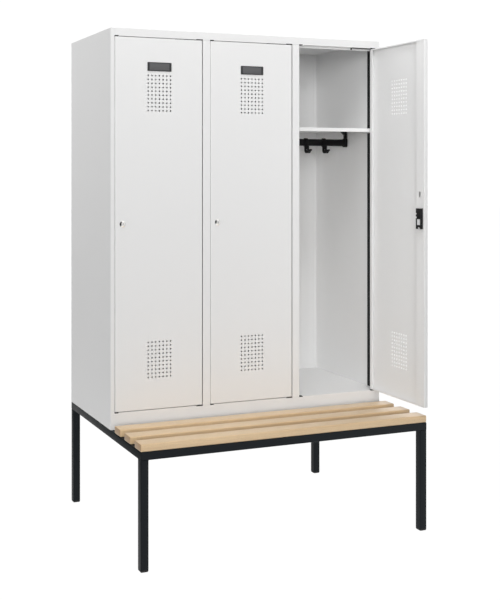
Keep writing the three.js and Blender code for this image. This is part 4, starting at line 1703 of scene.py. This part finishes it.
        # The plate's tab in the case's foot notch is a painted highlight.
        plate = put(f"case_plate_{name}", self.share("case_plate", self.case_plate), CASE_ZINC_AND_HIGHLIGHT, self.body,
                    at)
        soften(plate, self.soft, 2)
        cap = put(f"bolt_cap_{name}", self.share("bolt_cap", self.bolt_cap), CASE_PLASTIC_AND_SLOT_SHADE,
                  f"lock_bolt_{name}", at)
        soften(cap, self.soft, 2)

    @staticmethod
    def block(corners: Block) -> bpy.types.Mesh:
        """Makes a plain block between two corners, given in millimetres."""
        low, high = ([value * MM for value in corner] for corner in corners)
        return block_between(low, high).mesh("block")

    @staticmethod
    def rod(size: Sequence[float], steps: int, x: float, z: float) -> bpy.types.Mesh:
        """Makes a round rod along Y, to cut a hole with.

        Args:
            size: Its radius and both its ends on Y, in millimetres.
            steps: Number of stretches round it.
            x: Place of its axis on X.
            z: Height of its axis.

        Returns:
            The mesh.
        """
        radius, near, far = (value * MM for value in size)
        shape = lathe([(AXIS, near), (radius, near), (radius, far), (AXIS, far)], steps)
        shape.points = [(px + x, y, pz + z) for px, y, pz in shape.points]
        return shape.mesh("rod")

    def case(self) -> bpy.types.Mesh:
        """Makes the moulded case, with a window, bites in its hinge side and a notch in its foot.

        Returns:
            The mesh.
        """
        pocket = self.rod(self.barrel_pocket, 32, self.lock_inset, 0)
        return carve(self.block(self.case_blank), [*map(self.block, self.case_cuts), pocket], 30)

    def case_plate(self) -> bpy.types.Mesh:
        """Makes the plate that shows in the window, with a hole, and the pale tab in the case's foot notch,
        which is a painted highlight.

        Returns:
            The mesh of both.
        """
        drill = self.rod(self.plate_hole, 20, *(value * MM for value in self.plate_hole_place))
        whole = bmesh.new()
        whole.from_mesh(carve(self.block(self.window_plate), [drill], 30))
        whole.from_mesh(self.block(self.foot_highlight_tab))
        joined = bpy.data.meshes.new("case_plate")
        whole.to_mesh(joined)
        whole.free()
        return joined

    def bolt_cap(self) -> bpy.types.Mesh:
        """Makes the cap over the bolt's nose."""
        return self.block(self.bolt_nose)

    def slot_shade(self) -> bpy.types.Mesh:
        """Makes the black block that fills the key slot just behind its mouth: painted shade for the slot's
        dark depth.
        """
        return self.block(self.slot_shade_block)

    def build_lock(self) -> None:
        """Builds the cylinder's rosette and barrel, the plug that turns in it and the black block in the key
        slot, which is painted shade.
        """
        name = self.side.value
        at = self.at @ Matrix.Translation((self.lock_inset, 0, self.lock_height))
        put(f"lock_cylinder_{name}", self.share("cylinder", self.cylinder), NICKEL, self.body, at,
            [f"lock_barrel_{name}"])
        put(f"key_plug_{name}", self.share("plug", self.plug), NICKEL, f"lock_plug_{name}", at,
            [f"lock_plug_{name}"])
        # The black block in the key slot is painted shade.
        put(f"key_shutter_{name}", self.share("key_slot_shade", self.slot_shade), CASE_PLASTIC_AND_SLOT_SHADE, f"lock_plug_{name}",
            at)

    def cylinder(self) -> bpy.types.Mesh:
        """Makes the rosette and barrel as one turned part.

        Returns:
            The mesh.
        """
        reach, barrel, bore, crown, proud, back = 12.2, 9.0, 6.4, 7.4, 4.5, 17.0
        section = [
            (bore, -proud + 0.5), (bore + 0.2, -proud + 0.1), (crown - 0.2, -proud),
            (crown + 0.1, -proud + 0.1), (reach - 0.5, -0.9), (reach - 0.1, -0.6), (reach, -0.35),
            (reach, -0.2), (barrel, -0.2), (barrel, back), (bore, back),
        ]
        return lathe([(r * MM, y * MM) for r, y in section], 56, hollow=True).mesh("lock_cylinder", 28)

    def plug(self) -> bpy.types.Mesh:
        """Makes the plug with its key slot, and the cam on its end.

        Returns:
            The mesh.
        """
        radius, front, back, edge, steps = 6 * MM, -5.3 * MM, 18.4 * MM, 0.5 * MM, 48
        slot = rounded_rectangle(*(value * MM for value in self.key_slot), 3)
        shape = Shape()
        face_outline = circle((0, 0), radius - edge, steps)
        side_outline = circle((0, 0), radius, steps)
        front_ring = shape.ring((x, front, z) for x, z in face_outline)
        side_ring = shape.ring((x, front + edge, z) for x, z in side_outline)
        back_ring = shape.ring((x, back, z) for x, z in side_outline)
        for near, far in ((front_ring, side_ring), (side_ring, back_ring)):
            shape.bridge(far, near)
        shape.faces.append(tuple(reversed(back_ring)))
        rim = shape.sheet(front_ring, face_outline, [slot], lambda p: (p[0], front, p[1]), False)[0]
        floor = shape.ring((x, front + self.key_depth * MM, z) for x, z in slot)
        shape.bridge(rim, floor)
        shape.faces.append(tuple(floor))
        cam = cushion_block([value * MM for value in self.cam], 0.3 * MM)
        cam_y, cam_z = (value * MM for value in self.cam_place)
        first = len(shape.points)
        shape.points += [(x, y + cam_y, z + cam_z) for x, y, z in cam.points]
        shape.faces += [tuple(i + first for i in face) for face in cam.faces]
        return shape.mesh("key_plug", 28)

    def build_label(self) -> None:
        """Builds the label holder and the blank that fills it."""
        name = self.side.value
        put(f"label_frame_{name}", self.share("label_frame", self.label_frame), LABEL_EDGE, self.body,
            self.at, [f"label_holder_{name}"])
        put(f"label_blank_{name}", self.share("label_blank", self.label_blank), LABEL_FACE, self.body,
            self.at)

    def tray(self, name: str, stations: Sequence[tuple[Sequence[float], float, float]]) -> bpy.types.Mesh:
        """Makes a piece of the label holder, at the middle of the door.

        Args:
            name: The mesh's name.
            stations: Insets of the four sides, place on Y and corner radius of each ring, the last two in mm.

        Returns:
            The mesh.
        """
        half, height = self.label_size[0] / 2, self.label_size[1]
        middle, top = self.width / 2, self.top - self.label_drop
        bounds = (middle - half, middle + half, top - height, top)
        rings = [[(x, depth * MM, z) for x, z in inset_rectangle(bounds, insets, radius * MM)]
                 for insets, depth, radius in stations]
        shape = Shape()
        shape.loft([list(reversed(ring)) for ring in rings])
        return shape.mesh(name, 30)

    def grips(self, growth: float) -> tuple[float, float, float, float]:
        """Gives the insets of the holder's hollow, made larger by a growth in millimetres."""
        wide, narrow = (inset + growth * MM for inset in self.label_grips)
        return wide, wide, narrow, narrow

    def label_frame(self) -> bpy.types.Mesh:
        """Makes the holder: a shallow tray with round corners and wide grips at both ends.

        Returns:
            The mesh.
        """
        return self.tray("label_frame", [
            (NO_INSET, -0.2, 2.6), (NO_INSET, -1.9, 2.6), ((0.25 * MM,) * 4, -2.4, 2.4),
            ((0.8 * MM,) * 4, -2.7, 2.0), (self.grips(-0.4), -2.7, 1.4), (self.grips(0), -2.4, 1.2),
            (self.grips(0), -1.3, 1.2)])

    def label_blank(self) -> bpy.types.Mesh:
        """Makes the blank plate that slides into the holder."""
        return self.tray("label_blank", [
            (self.grips(0.4), -1.2, 1.0), (self.grips(0.4), -1.9, 1.0), (self.grips(0.8), -2.15, 0.8)])


# Studio


def hang(light: bpy.types.Light, looks_back: Sequence[float]) -> bpy.types.Object:
    """Hangs a light that polished metal doesn't mirror.

    Args:
        light: The light.
        looks_back: Direction from what it lights towards it.

    Returns:
        The lamp.
    """
    lamp = bpy.data.objects.new(light.name, light)
    bpy.context.scene.collection.objects.link(lamp)
    lamp.rotation_mode = "QUATERNION"
    lamp.rotation_quaternion = Vector(looks_back).to_track_quat("Z", "Y")
    lamp.visible_glossy = False
    return lamp


@dataclass(frozen=True)
class SoftLight:
    """A wide soft light that is the same over the whole scene."""

    name: str
    strength: float
    towards: tuple[float, float, float]
    spread: float

    def build(self) -> None:
        """Adds the light to the scene."""
        light = bpy.data.lights.new(self.name, "SUN")
        light.energy = self.strength
        light.angle = math.radians(self.spread)
        hang(light, self.towards)


@dataclass(frozen=True)
class SoftBox:
    """A square soft light at a place, which the camera doesn't see."""

    name: str
    power: float
    place: tuple[float, float, float]
    target: tuple[float, float, float]
    size: float

    def build(self) -> None:
        """Adds the light to the scene."""
        light = bpy.data.lights.new(self.name, "AREA")
        light.energy = self.power
        light.size = self.size
        lamp = hang(light, Vector(self.place) - Vector(self.target))
        lamp.location = self.place
        lamp.visible_camera = False


LIGHTS = (
    SoftLight("low_front_light", 1.33, (-0.42, -0.90, 0.06), 30),
    SoftLight("low_left_light", 0.26, (-0.75, -0.65, 0.05), 40),
    SoftLight("far_left_light", 0.45, (-0.95, -0.25, 0.02), 20),
    SoftLight("rear_light", 0.9, (0.55, 0.75, 0.35), 30),
    SoftBox("left_light", 17, (-2.8, 1.3, 2.8), (-0.6, 0.25, 1.7), 1.2),
    SoftBox("high_front_light", 66, (-0.5, -1.6, 4.7), (-0.2, 0, 1.2), 2),
)


@dataclass
class Studio:
    """Pale floor, soft light and the camera of the photograph.

    What polished metal mirrors is bright, but dark at the far left, where a studio's walls end.
    """

    eye: tuple[float, float, float] = (-1.8552, -3.6103, 1.4045)
    yaw: float = 20.255
    focal: float = 989.48
    frame_size: tuple[int, int] = (500, 600)
    principal: Point2 = (122.82, 171.26)
    sensor: float = 36.0
    farthest: float = 200.0
    floor_size: float = 60.0
    floor_tone: float = 0.55
    floor_glow: float = 1.13
    floor_glow_share: float = 0.88
    sky: float = 0.212
    sky_seen: float = 1.05
    mirrored_sky: float = 1.15
    mirrored_floor: float = 1.1
    mirrored_left: float = 0.03
    floor_fade: Point2 = (-1.5, -0.9)
    sky_fade: Point2 = (-0.3, 0.0)

    def build(self) -> None:
        """Builds the floor, the lights and the camera."""
        self.build_floor()
        self.build_world()
        for light in LIGHTS:
            light.build()
        self.build_camera()
        settings = bpy.context.scene.view_settings
        settings.view_transform = "Standard"
        settings.look = "None"

    def build_floor(self) -> None:
        """Lays the white floor, on which a faint shadow shows."""
        half = self.floor_size / 2
        mesh = bpy.data.meshes.new("studio_floor")
        mesh.from_pydata([(-half, -half, 0), (half, -half, 0), (half, half, 0), (-half, half, 0)], [],
                         [(0, 1, 2, 3)])
        floor = bpy.data.objects.new("studio_floor", mesh)
        bpy.context.scene.collection.objects.link(floor)
        made = bpy.data.materials.new("studio_white")
        tree = emptied_tree(made)
        paths = tree.add("ShaderNodeLightPath")
        seen = paths.outputs["Is Camera Ray"]
        lit = tree.add("ShaderNodeBsdfDiffuse", {"Color": (*[self.floor_tone] * 3, 1)})
        place = tree.add("ShaderNodeSeparateXYZ", {0: tree.add("ShaderNodeNewGeometry").outputs["Position"]})
        mirrored = tree.spread(place.outputs["X"], *self.floor_fade, self.mirrored_left, self.mirrored_floor)
        strength = tree.spread(seen, 0.0, 1.0, mirrored, self.floor_glow)
        bright = tree.add("ShaderNodeEmission", {"Color": (1, 1, 1, 1), "Strength": strength})
        share = tree.spread(seen, 0.0, 1.0, paths.outputs["Is Glossy Ray"], self.floor_glow_share)
        mixed = tree.add("ShaderNodeMixShader", {0: share, 1: lit.outputs[0], 2: bright.outputs[0]})
        tree.add("ShaderNodeOutputMaterial", {"Surface": mixed.outputs[0]})
        mesh.materials.append(made)

    def build_world(self) -> None:
        """Surrounds the scene with soft white light."""
        world = bpy.data.worlds.new("studio_world")
        bpy.context.scene.world = world
        tree = emptied_tree(world)
        paths = tree.add("ShaderNodeLightPath")
        towards = tree.add("ShaderNodeTexCoord").outputs["Generated"]
        direction = tree.add("ShaderNodeSeparateXYZ", {0: towards})
        mirrored = tree.spread(direction.outputs["X"], *self.sky_fade, self.mirrored_left, self.mirrored_sky)
        around = tree.spread(paths.outputs["Is Glossy Ray"], 0.0, 1.0, self.sky, mirrored)
        strength = tree.spread(paths.outputs["Is Camera Ray"], 0.0, 1.0, around, self.sky_seen)
        light = tree.add("ShaderNodeBackground", {"Color": (1, 1, 1, 1), "Strength": strength})
        tree.add("ShaderNodeOutputWorld", {"Surface": light.outputs[0]})

    def build_camera(self) -> None:
        """Sets the camera where the photograph was taken from."""
        lens = bpy.data.cameras.new("photo_camera")
        camera = bpy.data.objects.new("photo_camera", lens)
        bpy.context.scene.collection.objects.link(camera)
        width, height = self.frame_size
        lens.sensor_width = self.sensor
        lens.lens = self.focal / height * self.sensor
        lens.shift_x = (width / 2 - self.principal[0]) / height
        lens.shift_y = (self.principal[1] - height / 2) / height
        lens.clip_end = self.farthest
        turn = Matrix.Rotation(math.radians(-self.yaw), 4, "Z") @ Matrix.Rotation(QUARTER_TURN, 4, "X")
        camera.matrix_world = Matrix.Translation(self.eye) @ turn
        bpy.context.scene.camera = camera


def main() -> None:
    """Builds the studio and every sub-assembly."""
    logging.basicConfig(level=logging.INFO, format="%(name)s: %(message)s")
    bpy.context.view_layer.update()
    Studio().build()
    Underframe().build()
    Bench().build()
    Body().build()
    hook = CoatHook()
    hook_mesh = hook.mesh()
    for side in Side:
        Compartment(side, hook, hook_mesh).build()
        Bearings(side).build()
    shared: dict[str, bpy.types.Mesh] = {}
    for side in Side:
        Door(side, shared).build()


if __name__ == "__main__":
    main()
